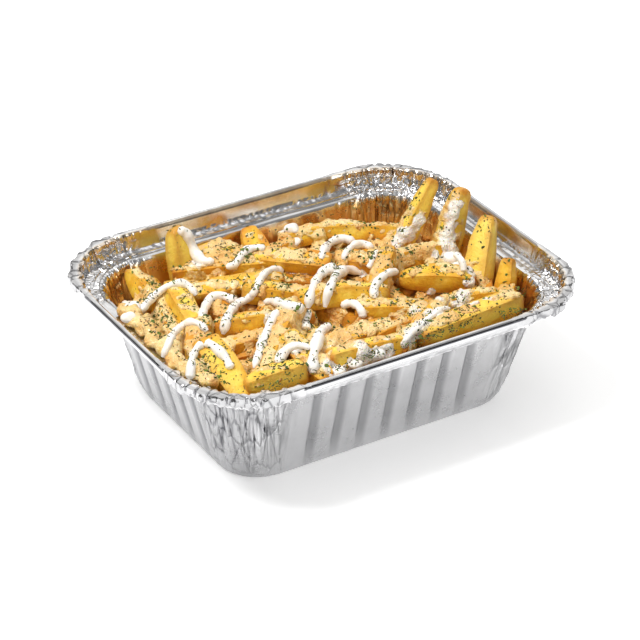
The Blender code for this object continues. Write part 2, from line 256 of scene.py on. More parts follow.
# Foil tray
# Thin aluminium sheet, pressed cold in one stroke. The walls have grooves that stiffen them,
# the corners gather the spare metal in pleats, and the edge is folded over into a hem.
MM = 0.001
HALF_LENGTH = 73.5
HALF_WIDTH = 58.8
RIM_RADIUS = 29.0
FOOT_RADIUS = 15  # of the corners low on the wall, and what they gain by its top
RADIUS_GAIN = 4
WALL_TOP = 38
LEDGE_LEVEL = 38.6
TRAY_TOP = 45.2
WALL_LEAN = 0.259
LIP_FOOT = 3.6  # how far in from the edge the lip starts
FOIL = 0.3
GROOVE_PITCH = 9.65
GROOVE_WIDTH = 4.4
GROOVE_DEPTH = 0.8
PLEAT_DEPTH = 2.6
SCALLOP_PITCH = 3.1
SCALLOP_DEPTH = 2.2
LEDGE_RUFFLE = 0.5
SHARP_CREASE = math.radians(32)
CORNER_POINTS = 92
JOIN_POINTS = 8
SIDES = ((37.5, 126, 3), (23.0, 77, 2))  # half length, points and grooves each way


def station(inset, height, pleat=0.0, crumple=0.0, groove=0.0, radius=None, shadow_line=0.0):
    """One level of the section. Its corners share the rim's centres if no radius is given."""
    return (inset, radius or RIM_RADIUS - inset, height, groove, pleat, crumple, shadow_line)


def tray_profile():
    """The tray's section from the base to the folded edge, as seen from outside, in mm."""
    rows = [
        station(24.5, 0.0, radius=10.5),
        station(22.4, 0.0, radius=12.6),
        station(21.5, 0.1, 0.02, radius=13.5),
        station(20.9, 0.45, 0.05, 0.03, 0.05, 14.1),
        station(20.3, 1.2, 0.1, 0.05, 0.15, 14.7),
        station(19.75, 2.4, 0.15, 0.08, 0.3, 14.9),
    ]
    for k in range(15):
        share = k / 14
        height = 4 + 31.1 * share
        groove = min(1.0, 0.45 + 3 * share) if share < 0.93 else 0.7
        crumple = 0.12 + 0.14 * math.sin(math.pi * share)
        inset = 20 - WALL_LEAN * height
        radius = FOOT_RADIUS + RADIUS_GAIN * share
        rows.append(station(inset, height, 0.3 + 0.5 * share, crumple, groove, radius))
    rows += [
        station(10.55, 36.6, 0.75, 0.12, 0.25, 19.0),
        station(10.3, 37.8, 0.6, 0.12, radius=19.0),
        station(10.1, 38.3, 0.5, 0.1, radius=19.0),
        station(9.85, 38.75, 0.4, 0.08, radius=19.1),
        station(9.3, 38.95, 0.35, 0.08),
        station(8.9, 38.62, 0.35, 0.15),
        station(8.0, LEDGE_LEVEL, 0.35, 0.25),
        station(7.1, LEDGE_LEVEL, 0.35, 0.3),
        station(6.95, 39.0, 0.35, 0.3),
        station(6.0, 39.02, 0.35, 0.3),
        station(5.85, 38.62, 0.35, 0.3),
        station(4.8, LEDGE_LEVEL, 0.4, 0.3),
        station(3.9, 38.62, 0.45, 0.3),
        station(3.5, 38.85, 0.5, 0.25),
        station(3.3, 39.5, 0.55, 0.22),
    ]
    for k in range(8):
        share = k / 7
        rows.append(station(3.1 - 1.1 * share, 40.0 + 4.2 * share, 0.65, 0.28))
    rows += [
        station(1.75, 44.6, 0.6, 0.3),
        station(1.35, 44.88, 0.6, 0.3),
        station(0.85, 44.88, 0.6, 0.35),
        station(0.58, 44.74, 0.6, 0.4),
        # The next two rows carry the painted shadow line under the hem
        station(0.42, 44.55, 0.6, 0.45, shadow_line=1.0),
        station(0.36, 44.25, 0.6, 0.5, shadow_line=1.0),
        station(0.32, 44.0, 0.65, 0.5),
        station(0.33, 43.5, 0.7, 0.5),
        station(0.34, 43.1, 0.7, 0.5),
        station(0.6, 42.85, 0.7, 0.5),
    ]
    return np.array(rows)


def tray_ring(inset, radius):
    """One level of the tray as points in order round it, all corners alike."""
    points = []
    for quarter in range(4):
        reach, count, _ = SIDES[quarter % 2]
        along = (HALF_WIDTH if quarter % 2 else HALF_LENGTH) - inset
        across = (HALF_LENGTH if quarter % 2 else HALF_WIDTH) - inset
        bend = along - radius
        joins = np.linspace(0, 1, JOIN_POINTS + 1)
        run = np.concatenate(
            [
                -bend + (bend - reach) * joins[:-1],
                np.linspace(-reach, reach, count),
                reach + (bend - reach) * joins[1:],
            ]
        )
        side = np.stack([run, np.full(len(run), -across)], axis=1)
        angle = np.linspace(-math.pi / 2, 0, CORNER_POINTS + 1)[1:-1]
        arc = np.stack([bend + radius * np.cos(angle), radius * np.sin(angle) - across + radius], 1)
        turned = np.concatenate([side, arc])
        for _ in range(quarter):
            turned = np.stack([-turned[:, 1], turned[:, 0]], axis=1)
        points.append(turned)
    return np.concatenate(points)


def ring_marks():
    """For each point round the tray: how deep in a groove, and how near a corner, 0 to 1."""
    groove, corner = [], []
    for quarter in range(4):
        reach, count, each_way = SIDES[quarter % 2]
        run = np.linspace(-reach, reach, count)
        nearest = np.clip(np.round(run / GROOVE_PITCH), -each_way, each_way) * GROOVE_PITCH
        away = np.clip(np.abs(run - nearest) / (GROOVE_WIDTH / 2), 0, 1)
        pressed = 1 - np.clip((away - 0.45) / 0.55, 0, 1) ** 1.5
        ends = np.zeros(JOIN_POINTS)
        groove.append(np.concatenate([ends, pressed, ends, np.zeros(CORNER_POINTS - 1)]))
        edge = np.clip((np.abs(run) - reach + 5) / 12, 0, 1)
        rise = np.linspace(0.42, 1, JOIN_POINTS)
        corner.append(np.concatenate([rise[::-1], edge, rise, np.ones(CORNER_POINTS - 1)]))
    return np.concatenate(groove), np.concatenate(corner)


def grid_normals(points):
    """Unit normals of rings of points, stacked upwards, that go round the tray."""
    around = np.roll(points, -1, axis=1) - np.roll(points, 1, axis=1)
    upward = np.gradient(points, axis=0)
    normals = np.cross(around, upward)
    return normals / np.maximum(np.linalg.norm(normals, axis=2, keepdims=True), 1e-9)


def smooth_step(value, low, high):
    """0 below low, 1 above high, and smooth from one to the other."""
    share = min(max((value - low) / (high - low), 0.0), 1.0)
    return share * share * (3 - 2 * share)


def facets(place, cell, stretch=1.0):
    """The dents of crumpled foil: flat cells with sharp creases between, about -0.4 to 0.4."""
    spot = Vector((place[0] / cell, place[1] / cell, place[2] / (cell * stretch)))
    near = noise.voronoi(spot)[0]
    return (near[1] - near[0]) * 0.8 - 0.25


profile = tray_profile()
levels = len(profile)
groove_mark, corner_mark = ring_marks()
rim_ring = tray_ring(0, RIM_RADIUS)
round_count = len(rim_ring)
tray_points = np.zeros((levels, round_count, 3))
for i, row in enumerate(profile):
    tray_points[i, :, :2] = tray_ring(row[0], row[1])
    tray_points[i, :, 2] = row[2]
outward = grid_normals(tray_points)
steps_round = np.linalg.norm(np.roll(rim_ring, -1, axis=0) - rim_ring, axis=1)
round_length = np.cumsum(steps_round)
push = np.zeros((levels, round_count))
shade_mark = np.zeros((levels, round_count))
hem_mark = np.zeros((levels, round_count))
for i, (inset, _, height, groove, pleat, crumple, shadow_line) in enumerate(profile):
    on_wall, on_lip = height < WALL_TOP, inset < LIP_FOOT
    run = height if on_wall or on_lip else WALL_TOP + (10 - inset)
    for k in range(round_count):
        x, y = rim_ring[k]
        corner = corner_mark[k]
        round_here = round_length[k]
        # Long folds down the corners, with finer ones between them
        lean = 0.22 * run * noise.noise(Vector((x, y, 5)) / 9)
        wide_fold = facets((round_here + lean, 3.5, run), 5.2, 5.0)
        fold = 1.2 * wide_fold + 0.6 * facets((round_here - lean, 9.5, run), 2.1, 5.0)
        # Painted shade: the colour darkens along the wide creases of the corner walls, above the base
        crease = smooth_step(-wide_fold, 0.13, 0.24) * smooth_step(height, 2, 20)
        shade_mark[i, k] = 1.1 * corner**2 * crease * on_wall
        dent = facets((round_here, 20, run), 1.7, 3.2)
        dent += 0.7 * noise.noise(Vector((x, y, run * 0.6)) / 7)
        push[i, k] = PLEAT_DEPTH * corner**1.3 * pleat * fold
        push[i, k] += (0.12 + 2.6 * corner**2) * crumple * dent
        if 3.2 < inset < 6.5:
            ruffle = facets((round_here, 30, run), 2.4, 2.2)
            push[i, k] += LEDGE_RUFFLE * (1 - corner) * ruffle
        if height > 42 or inset < 2.6:
            scallop = abs(noise.noise(Vector((round_here / SCALLOP_PITCH, 0.3, 0.6))))
            push[i, k] -= SCALLOP_DEPTH * corner**2 * scallop * smooth_step(height, 40.5, 44)
        # The sheet gives a little everywhere above the base
        sag = 0.25 * noise.noise(Vector((x, y, run * 0.7)) / 16)
        push[i, k] += sag * (height > 3) * (inset > 9)
    push[i] -= GROOVE_DEPTH * groove * groove_mark
    # Painted shade: the outer face above the ledge, lip and hem, darkens, most at the corners; the
    # outer wall darkens towards the left end; and the grooves darken
    underside_shade = 0.35 + 0.5 * corner_mark**2 if height > 39 else 0.0
    painted_end_wall_shade = 0.6 * np.clip((-54 - rim_ring[:, 0]) / 12, 0, 1) * on_wall
    shade_mark[i] += underside_shade + painted_end_wall_shade + 0.95 * groove * groove_mark
    # Painted shade: the foil folded under the hem darkens, more at the corners, and two rows carry a
    # painted black shadow line under the hem on the straight sides
    hem_mark[i] = (0.35 + 0.3 * corner_mark**2) * (inset < 0.9)
    hem_mark[i] += 2.2 * shadow_line * (corner_mark < 0.72)
tray_points += outward * push[:, :, None]
edge_limit = np.array([HALF_LENGTH - FOIL, HALF_WIDTH - FOIL])
tray_points[:, :, :2] = np.clip(tray_points[:, :, :2], -edge_limit, edge_limit)
tray_points[:, :, 2] = np.clip(tray_points[:, :, 2], 0.0, TRAY_TOP - FOIL)
tray_points[:2, :, 2] = 0
outward = grid_normals(tray_points)
# The inner skin lies one thickness of foil inside the outer one
inner_points = tray_points - FOIL * outward
inner_points[:2, :, 2] = FOIL
half_box = np.array([HALF_LENGTH, HALF_WIDTH])
inner_points[:, :, :2] = np.clip(inner_points[:, :, :2], -half_box, half_box)
inner_points[:, :, 2] = np.clip(inner_points[:, :, 2], FOIL, TRAY_TOP)


def skin_faces(first, turned):
    """Quads between the rings of one skin whose vertices start at first."""
    ring_start = (np.arange(levels - 1) * round_count)[:, None]
    low = ring_start + np.arange(round_count)
    aside = ring_start + (np.arange(round_count) + 1) % round_count
    quads = np.stack([low, aside, aside + round_count, low + round_count], axis=2).reshape(-1, 4)
    return (quads[:, ::-1] if turned else quads) + first


skin_size = levels * round_count
faces = skin_faces(0, False).tolist() + skin_faces(skin_size, True).tolist()
top_ring = (levels - 1) * round_count
for k in range(round_count):
    j = (k + 1) % round_count
    faces.append([top_ring + k, top_ring + j, skin_size + top_ring + j, skin_size + top_ring + k])
points = np.concatenate([tray_points.reshape(-1, 3), inner_points.reshape(-1, 3)])
middle = len(points)
points = np.concatenate([points, [[0, 0, 0], [0, 0, FOIL]]]) * MM
for k in range(round_count):
    j = (k + 1) % round_count
    faces.append([middle, j, k])
    faces.append([middle + 1, skin_size + k, skin_size + j])
tray_mesh = bpy.data.meshes.new("pressed_foil_tray")
tray_mesh.from_pydata(points.tolist(), [], faces)


def set_mark(mesh, name, values):
    """Gives each point of the mesh a number that a material can read."""
    mark = mesh.attributes.new(name, "FLOAT", "POINT")
    mark.data.foreach_set("value", np.asarray(values, dtype=np.float32))


# Painted reflection of the golden fries: how golden the foil looks deep inside the tray, and along
# the inner face of the lip
depth_share = np.clip((38.5 - inner_points[:, :, 2]) / 1.5, 0, 1)
lip_share = np.clip((inner_points[:, :, 2] - 41.4) / 1.4, 0, 1) * (profile[:, 0] > 1.6)[:, None]
painted_reflection_inside = np.maximum(depth_share, 0.5 * lip_share * (1 - 0.3 * corner_mark[None, :]))
crumpled = np.repeat(corner_mark[None, :] ** 3, levels, axis=0) * (0.2 + profile[:, 4:5])
for name, outside, inside, middle_inside in (
    ("warm", np.zeros(skin_size), painted_reflection_inside, 1.0),
    # Painted shade, outside and in: darkened creases, grooves, lip, hem and left end wall
    ("pressed", shade_mark, hem_mark, 0.0),
    ("crumpled", crumpled, crumpled, 0.0),
):
    middles = [0.0, middle_inside]
    set_mark(tray_mesh, name, np.concatenate([outside.ravel(), inside.ravel(), middles]))

foil_finish, net, shader = finish_of("aluminium_foil", {"Metallic": 1.0})
spot = net.spot()
crumpled_here = net.mark("crumpled")
patches = net.noise(spot, 110.0, 3.0)
height_here = net.axis_of(spot, 2)
satin = 1 - height_here.between(0.036, 0.0385)
# Painted shade: the silver is darker on the walls below the ledge's level than on the ledge and lip
lit = 0.4 + 0.6 * height_here.between(0.034, 0.0385)
silver = net.mix(patches.between(0.3, 0.7), (0.66, 0.66, 0.67, 1), (0.84, 0.84, 0.85, 1))
silver = net.mix(lit, (0.47, 0.47, 0.48, 1), silver)
# Painted reflection: the foil takes a golden colour where the fries would show in it
reflected_gold = net.mix(patches.between(0.35, 0.65), (0.86, 0.50, 0.12, 1), (0.95, 0.70, 0.33, 1))
silver_with_reflection = net.mix((net.mark("warm") * (patches + 0.4)).clipped(), silver, reflected_gold)
drawn_out = net.node(
    "ShaderNodeVectorMath", {"operation": "MULTIPLY"}, {0: spot, 1: (1.0, 1.0, 0.3)}
)
to_edge = {"feature": "DISTANCE_TO_EDGE"}
creases = net.node("ShaderNodeTexVoronoi", to_edge, {"Vector": drawn_out, "Scale": 200.0})
crinkle = net.node("ShaderNodeTexVoronoi", to_edge, {"Vector": spot, "Scale": 430.0})
# Painted shade: dark lines along the creases of crumpled foil, and the painted shade marks, mixed
# towards a near-black grey
sharp = (1 - creases.between(0.0, 0.07)) * crumpled_here
dark_share = (net.mark("pressed") * 0.5 + sharp * 0.5).clipped()
darkened = net.mix(dark_share, silver_with_reflection, (0.10, 0.10, 0.11, 1))
wire(darkened, shader.inputs["Base Color"])
grain = net.noise(spot, 900.0, 3.0)
wire(0.1 + 0.12 * satin + 0.08 * patches + 0.05 * grain, shader.inputs["Roughness"])
folded = crinkle.between(0.0, 0.4) * 0.5 + creases.between(0.0, 0.14) * 2.0
bump = net.relief(folded * crumpled_here + 0.05 * grain, 0.5, 0.0003)
wire(bump, shader.inputs["Normal"])


def add_piece(name, mesh, finish, replaced):
    """A finished mesh as a piece of the object, standing for one node of the frame."""
    piece = bpy.data.objects.new(name, mesh)
    mesh.materials.clear()
    mesh.materials.append(finish)
    bpy.context.scene.collection.objects.link(piece)
    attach(piece, "root")
    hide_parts(replaced)
    return piece


tray_mesh.shade_smooth()
tray_mesh.set_sharp_from_angle(angle=SHARP_CREASE)
add_piece("pressed_foil_tray", tray_mesh, foil_finish, "foil_tray")

# Fries
# Thick sticks cut from peeled potatoes and fried until their edges are crisp. They lie as they
# were tipped into the tray, and a few stand against its walls.
LEDGE_TOP = 39.55
BASE_INSET = 20.0
OPENING = 10.0
LIP_LEAN = 3.5
WALL_AND_GAP = 1.17
FRY_THICKNESS = 8.0
FILL_FRIES = 29
FILL_DEPTH = 7.5  # how far below the heap's level the hidden fries lie
SECTION_POINTS = 20
LENGTH_POINTS = 17
END_ROUNDING = 0.24  # of its thickness
SHARP_FRY_EDGE = math.radians(50)

# Middle x, y and height of the upper face, heading, rise, length and width, in mm and degrees,
# how far it tapers towards its far end, or its near end where negative, the tone from pale
# yellow to brown, the share under sauce, and where along the fry, from -1 to 1, the sauce stops
PLACED_FRIES = (
    (-29.5, 43, 39, 125, 76, 24, 10, 0.4, -0.4, 0.1, -1),
    (-48, 35, 39, -80, -14, 24, 9, -0.55, 0.3, 0.55, 1),
    (-54, 29, 36, -8, -4, 22, 7.5, -0.3, 0.5, 0.9, 1),
    (-60, 9, 34, -84, -3, 27, 7.5, 0, 0.6, 0.85, 1),
    (-52, 9, 37, -104, -2, 25, 5.5, 0, 0.5, 0.9, 1),
    (-44, 12, 40, -98, -5, 34, 8.5, 0.3, 0.1, 0.3, 1),
    (-51, -8, 40, 62, 14, 24, 8.5, 0, 0.55, 0.7, 1),
    (-53, -28, 41, -86, -22, 27, 11, 0.15, 0.2, 0.0, -1),
    (-59, -14, 34, -80, -4, 17, 7, 0, 0.7, 0.8, 1),
    (-38, -12, 38, -10, 0, 28, 6.5, 0, 0.5, 0.8, 1),
    (-29, -6, 41, -20, 2, 27, 8.2, 0.4, 0.65, 0.25, 1),
    (-31, -23, 41, 43, 8, 47, 8, -0.3, 0.5, 1.0, 1),
    (-40, -38, 41, -8, 4, 21, 8.5, -0.35, -0.2, 0.15, 1),
    (-26, -34, 41, -84, -12, 24, 9, 0, 0.25, 0.5, 1),
    (-8, -31, 41, -2, 3, 32, 8, 0, 0.5, 0.8, 1),
    (16, -24, 41, -28, 0, 30, 8.5, 0.25, 0.6, 0.55, 1),
    (3, -8, 43, -25, 2, 32, 9.5, 0.3, 0.25, 0.3, 1),
    (-13, 4, 42, -35, -3, 26, 8, 0.3, 0.4, 0.45, 1),
    (1, 22, 42, -50, 2, 30, 8.5, -0.4, 0.45, 0.45, 1),
    (-3, 43, 40, 78, 24, 19, 9, 0.35, 0.55, 0.3, 1),
    (23, 37, 39, -19, 2, 31, 7, 0, 0.3, 0.8, 1),
    (38, 30, 38, -27, 0, 34, 7.5, 0.35, 0.2, 0.5, 1),
    (-19, 33, 39.5, -26, 3, 34, 7, 0, 0.5, 0.85, 1),
    (-22, 19, 40, -15, 0, 34, 7.5, 0.35, 0.2, 0.5, 1),
    (-17, 44, 40, -5, 2, 18, 7.5, 0.2, 0.6, 0.9, 1),
    (22, -3, 42, 48, 10, 28, 6.5, 0, 0.5, 0.9, 1),
    (42, 5, 40, -10, 0, 27, 7, 0, 0.4, 0.8, 1),
    (37, -13, 42, -31, 0, 25, 8.5, -0.45, 0.1, 0.3, 1),
    (48, 19, 43, 6, 54, 34, 7, 0.4, -0.3, 0.95, 0.1),
    (57, 8, 42, 22, 70, 31, 8, 0.3, 0.1, 0.95, 0.75),
    (55, -13, 41, 38, 54, 33, 9.5, 0.45, -0.3, 0.9, -0.3),
    (58, -20, 35, -119, -8, 25, 6, 0, 0.9, 0.4, 1),
    (54, -34, 37, -130, -5, 24, 6, 0, 0.5, 0.6, 1),
    (31, -42, 43, 6, 0, 42, 8, -0.2, -0.3, 0.45, 1),
    (15, -38, 42, 24, 9, 30, 6, 0, 0.5, 1.0, 1),
    (-8, -42, 42, -6, 0, 27, 7.5, 0, 0.05, 0.4, 1),
    (42, -28, 39, -14, 0, 24, 7, 0, 0.4, 0.7, 1),
    (-15, -3, 38, -68, 0, 20, 7.5, 0, 0.6, 0.6, 1),
    (11, -33, 40, 4, 0, 24, 7, 0, 0.8, 0.5, 1),
    (25, 11, 39, -58, 3, 24, 7, 0, 0.6, 0.7, 1),
    (-37, 26, 37, 8, -4, 26, 7, 0, 0.5, 0.8, 1),
    (57, -25, 36.5, 40, 66, 19, 6.5, 0.3, 0.35, 0.3, 0),
    (-14, 36, 41, -32, 5, 16, 6, 0, 0.4, 0.9, 1),
)


def room(x, y, z):
    """How far inside the tray's free space a place lies, and the way from it to the middle."""
    if z < LEDGE_TOP:
        share = min(max(z / LEDGE_LEVEL, 0), 1)
        inset = BASE_INSET + (OPENING - BASE_INSET) * share + 0.8 + max(0, 4 - z)
        radius = FOOT_RADIUS + RADIUS_GAIN * share
    else:
        inset = LIP_LEAN
        radius = RIM_RADIUS - LIP_LEAN
    inset += WALL_AND_GAP
    past_x = max(abs(x) - (HALF_LENGTH - inset - radius), 0)
    past_y = max(abs(y) - (HALF_WIDTH - inset - radius), 0)
    past = math.hypot(past_x, past_y)
    if past < 1e-6:
        return radius, (0, 0)
    return radius - past, (-math.copysign(past_x, x) / past, -math.copysign(past_y, y) / past)


def heap_height(x, y):
    """The level of the heap: full in the middle and along the front, lower at three walls."""
    ends = abs(x / HALF_LENGTH) ** 4
    rear = max(0, y / HALF_WIDTH) ** 3
    front = max(0, -y / HALF_WIDTH) ** 3
    return 39.5 - 7 * ends - 4 * rear + 3 * front


def fry_points(length, width, thickness, bow, taper, rng):
    """The rings of one fry about the origin, along X, and how crisp each point is."""
    lean = rng.uniform(-0.12, 0.12)
    narrow = rng.uniform(0.0, 0.4)
    narrow = abs(taper) if taper else narrow
    seed = Vector((length, width, bow)) * 7
    rings, crisp = [], []
    bend = END_ROUNDING * thickness
    for i in range(LENGTH_POINTS):
        share = -math.cos(math.pi * (0.06 + 0.88 * i / (LENGTH_POINTS - 1)))
        share /= math.cos(math.pi * 0.06)
        end = min(1.0, (1 - abs(share)) * length / 2 / bend)
        drawn = 1 - (1 - math.sqrt(1 - (1 - end) ** 2)) * bend / thickness * 1.6
        towards = -share if taper < 0 else share
        size = (1 - narrow * max(towards, 0) ** 1.7) * (1 - 0.1 * share * share) * drawn
        for k in range(SECTION_POINTS):
            angle = 2 * math.pi * (k + 0.5) / SECTION_POINTS
            square = max(abs(math.cos(angle)), abs(math.sin(angle)))
            reach = 1 / (square**0.72 * 1.03)
            y = math.cos(angle) * reach * width / 2
            z = math.sin(angle) * reach * thickness / 2
            corner = min(1.0, abs(math.sin(2 * angle)) ** 3)
            spot = seed + Vector((share * length / 2, y, z))
            uneven = 0.5 * noise.noise(spot / 5) + 0.16 * noise.noise(spot / 1.7)
            y = y * size + lean * thickness * share + uneven * math.cos(angle)
            z = z * size + bow * (share * share - 0.4) + uneven * math.sin(angle)
            rings.append((share * length / 2, y, z))
            crisp.append(max(0.5 * corner, 4.5 * max(0, abs(share) - 0.78)) * (0.4 + 0.6 * drawn))
    return np.array(rings), crisp


fry_rng = random.Random(7)
fry_rows = []
for x, y, top, heading, rise, length, width, taper, tone, coat, bare_from in PLACED_FRIES:
    thickness = min(FRY_THICKNESS, width) * fry_rng.uniform(0.9, 1.0)
    roll = math.radians(fry_rng.uniform(-22, 22))
    bow = fry_rng.uniform(-1.2, 0.5)
    rings, crisp = fry_points(length, width, thickness, bow, taper, fry_rng)
    middle_z = top - thickness / 2 * math.cos(math.radians(rise))
    turn = (math.radians(heading), math.radians(rise), roll)
    fry_rows.append(((x, y, middle_z), turn, rings, crisp, tone, coat, bare_from, length))
golden_turn = math.pi * (3 - math.sqrt(5))
for k in range(FILL_FRIES):
    reach = math.sqrt((k + 0.5) / FILL_FRIES)
    x = 0.80 * HALF_LENGTH * reach * math.cos(k * golden_turn)
    y = 0.74 * HALF_WIDTH * reach * math.sin(k * golden_turn)
    heading = fry_rng.uniform(0, math.pi)
    rise = fry_rng.uniform(-0.12, 0.12)
    length = fry_rng.uniform(26, 38)
    width = FRY_THICKNESS * fry_rng.uniform(0.85, 1.05)
    roll = fry_rng.uniform(-0.4, 0.4)
    rings, crisp = fry_points(length, width, FRY_THICKNESS, -0.6, 0, fry_rng)
    place = (x, y, heap_height(x, y) - FILL_DEPTH)
    fry_rows.append((place, (heading, rise, roll), rings, crisp, 0.6, 0.6, 1, length))

fry_verts, fry_faces, fry_tone_and_shade, fry_crisp, fry_owner, fry_along = [], [], [], [], [], []
for number, (place, turn, rings, crisp, tone, _, _, length) in enumerate(fry_rows):
    heading, rise, roll = turn
    rotation = Matrix.Rotation(heading, 3, "Z") @ Matrix.Rotation(-rise, 3, "Y")
    rotation = np.array(rotation @ Matrix.Rotation(roll, 3, "X"))
    laid = rings @ rotation.T + np.array(place)
    for _ in range(60):
        worst, way = min((room(*spot) for spot in laid.tolist()), key=lambda found: found[0])
        if worst >= 0:
            break
        laid[:, :2] += np.array(way) * (-worst + 0.01)
    first = len(fry_verts)
    fry_verts += laid.tolist()
    for i in range(LENGTH_POINTS - 1):
        for k in range(SECTION_POINTS):
            j = (k + 1) % SECTION_POINTS
            a = first + i * SECTION_POINTS
            b = a + SECTION_POINTS
            fry_faces.append((a + k, a + j, b + j, b + k))
    last = first + (LENGTH_POINTS - 1) * SECTION_POINTS
    fry_faces.append(tuple(first + k for k in reversed(range(SECTION_POINTS))))
    fry_faces.append(tuple(last + k for k in range(SECTION_POINTS)))
    # Painted shade: a fry browns the further it lies below the heap's level
    for x, y, z in laid.tolist():
        fry_tone_and_shade.append(tone + 0.4 * smooth_step(heap_height(x, y) + 1 - z, 0, 6))
    fry_crisp += crisp
    fry_owner += [number] * len(rings)
    fry_along += (rings[:, 0] / (length / 2)).tolist()
fries_mesh = bpy.data.meshes.new("fries")
fries_mesh.from_pydata([Vector(v) * MM for v in fry_verts], [], fry_faces)
bm = bmesh.new()
bm.from_mesh(fries_mesh)
bmesh.ops.recalc_face_normals(bm, faces=bm.faces)
bm.to_mesh(fries_mesh)
bm.free()
set_mark(fries_mesh, "tone", fry_tone_and_shade)
set_mark(fries_mesh, "crisp", fry_crisp)
fries_mesh.shade_smooth()
fries_mesh.set_sharp_from_angle(angle=SHARP_FRY_EDGE)

fry_finish, net, shader = finish_of(
    "fried_potato",
    {
        "Subsurface Weight": 0.2,
        "Subsurface Radius": (1.0, 0.55, 0.12),
        "Subsurface Scale": 0.002,
        "Specular IOR Level": 0.3,
    },
)
spot = net.spot()
mottle = net.noise(spot, 260.0, 4.0, 0.6)
wide = net.noise(spot, 90.0, 2.0)
# The given tone with the painted shade below the heap's level, and the fries' own mottling
browning_and_shade = (net.mark("tone") * 0.8 + (wide - 0.5) * 1.5 + (mottle - 0.5) * 0.9).clipped()
flesh = net.node(
    "ShaderNodeValToRGB",
    {
        "stops": (
            (0.0, (0.92, 0.65, 0.10)),
            (0.3, (0.86, 0.50, 0.035)),
            (0.65, (0.72, 0.31, 0.02)),
            (1.0, (0.36, 0.12, 0.010)),
        )
    },
    {0: browning_and_shade},
)
crisped = (net.mark("crisp") * 1.2 + (mottle - 0.62) * 0.9).clipped()
crust = net.mix(crisped, flesh, (0.52, 0.19, 0.02, 1))
wire(crust, shader.inputs["Base Color"])
wire(0.3 + 0.25 * mottle, shader.inputs["Roughness"])
blisters = net.noise(spot, 1400.0, 3.0, 0.6)
bump = net.relief(blisters + 2.2 * mottle, 0.7, 0.0004)
wire(bump, shader.inputs["Normal"])
add_piece("fries", fries_mesh, fry_finish, "loaded_fries")

# Sauce and packed heap
# A warm peach sauce is ladled over the heap. It coats what faces up, runs down some sides and
# sinks between the fries, whose lower layers are packed below it.
CORE_RING = 40
HEAP_VOXEL = 0.75
HEAP_FLOOR = 21.0
CORE_TOP = 27.0
CORE_BOTTOM = 0.95
COAT_THICKNESS = 0.6
SUNK = 0.6
CLOT_SIZE = 2.7
HIGHEST_SAUCE = 55.3
FINE_TURNS = 14
WIDE_TURNS = 90
LOWEST_SAUCE = 24
NEAREST_FRY = 6
SPILT_REACH = 1.45  # how far a spilt lump's finish goes, as a share of the lump
STANDING = 0.7  # a fry that rises more steeply stands on end

# Sauce spilt onto the ledge at the left end: middles and reach in mm
LEDGE_LUMPS = (
    (-62.5, 17, 40.0, 3.6), (-64.0, 11, 40.4, 3.0), (-62.5, 4, 40.4, 4.0), (-64.5, -3, 40.0, 3.0),
    (-62.5, -10, 40.7, 4.0), (-64.3, -18, 40.1, 3.0), (-62.0, -25, 40.6, 3.8),
    (-60.5, -32, 40.0, 3.0),
)

# Pools of white in the sauce: their middles and reach in the photograph's pixels
PIXELS_PER_METRE = 2950  # at the tray's distance
WHITE_POOLS = (
    (418, 221, 9), (406, 232, 10), (396, 242, 8), (456, 206, 9), (454, 216, 9), (452, 226, 9),
    (449, 236, 9), (447, 245, 10), (447, 253, 12), (460, 259, 8), (470, 283, 8), (463, 294, 7),
    (458, 303, 6), (122, 313, 14), (138, 314, 8), (333, 371, 11), (348, 366, 13), (366, 359, 14),
    (386, 352, 10), (296, 349, 7), (284, 356, 6), (404, 344, 8), (412, 335, 9), (422, 325, 9),
    (433, 315, 9), (446, 309, 9), (460, 305, 9), (473, 302, 8), (486, 299, 6), (432, 291, 5),
    (438, 299, 6), (436, 254, 6), (472, 272, 8), (128, 326, 8), (192, 250, 5), (201, 262, 8),
    (363, 273, 6), (267, 322, 6), (263, 338, 6), (284, 226, 10), (415, 312, 6),
)


def packed_core(heights):
    """The food packed under the fries that show, clear of the tray all round."""
    rings = []
    for height in heights:
        ring = []
        for k in range(CORE_RING):
            angle = 2 * math.pi * k / CORE_RING
            x, y = 2 * HALF_LENGTH * math.cos(angle), 2 * HALF_WIDTH * math.sin(angle)
            for _ in range(40):
                space, (way_x, way_y) = room(x, y, height)
                if space >= 0:
                    break
                x, y = x + way_x * (0.001 - space), y + way_y * (0.001 - space)
            ring.append((x, y, height))
        rings.append(ring)
    top_ring = rings[-1]
    for share in (0.86, 0.6, 0.3):
        rings.append(
            [(x * share, y * share, heap_height(x * share, y * share) - 7) for x, y, _ in top_ring]
        )
    made = bmesh.new()
    rows = [[made.verts.new(Vector(p) * MM) for p in ring] for ring in rings]
    for low, high in zip(rows, rows[1:]):
        for k in range(CORE_RING):
            j = (k + 1) % CORE_RING
            made.faces.new((low[k], low[j], high[j], high[k]))
    made.faces.new(rows[0])
    made.faces.new(rows[-1])
    bmesh.ops.recalc_face_normals(made, faces=made.faces)
    return made


def applied(obj):
    """The object's mesh with its modifiers worked in. The object goes."""
    graph = bpy.context.evaluated_depsgraph_get()
    mesh = bpy.data.meshes.new_from_object(obj.evaluated_get(graph))
    bpy.data.objects.remove(obj, do_unlink=True)
    return mesh


def largest_part(made):
    """Drops every loose part of a bmesh but the largest."""
    made.verts.ensure_lookup_table()
    part_of = [-1] * len(made.verts)
    sizes = []
    for start in range(len(made.verts)):
        if part_of[start] >= 0:
            continue
        number = len(sizes)
        part_of[start] = number
        edge, size = [made.verts[start]], 1
        while edge:
            vert = edge.pop()
            for link in vert.link_edges:
                other = link.other_vert(vert)
                if part_of[other.index] < 0:
                    part_of[other.index] = number
                    edge.append(other)
                    size += 1
        sizes.append(size)
    largest = sizes.index(max(sizes))
    loose = [v for v in made.verts if part_of[v.index] != largest]
    bmesh.ops.delete(made, geom=loose, context="VERTS")


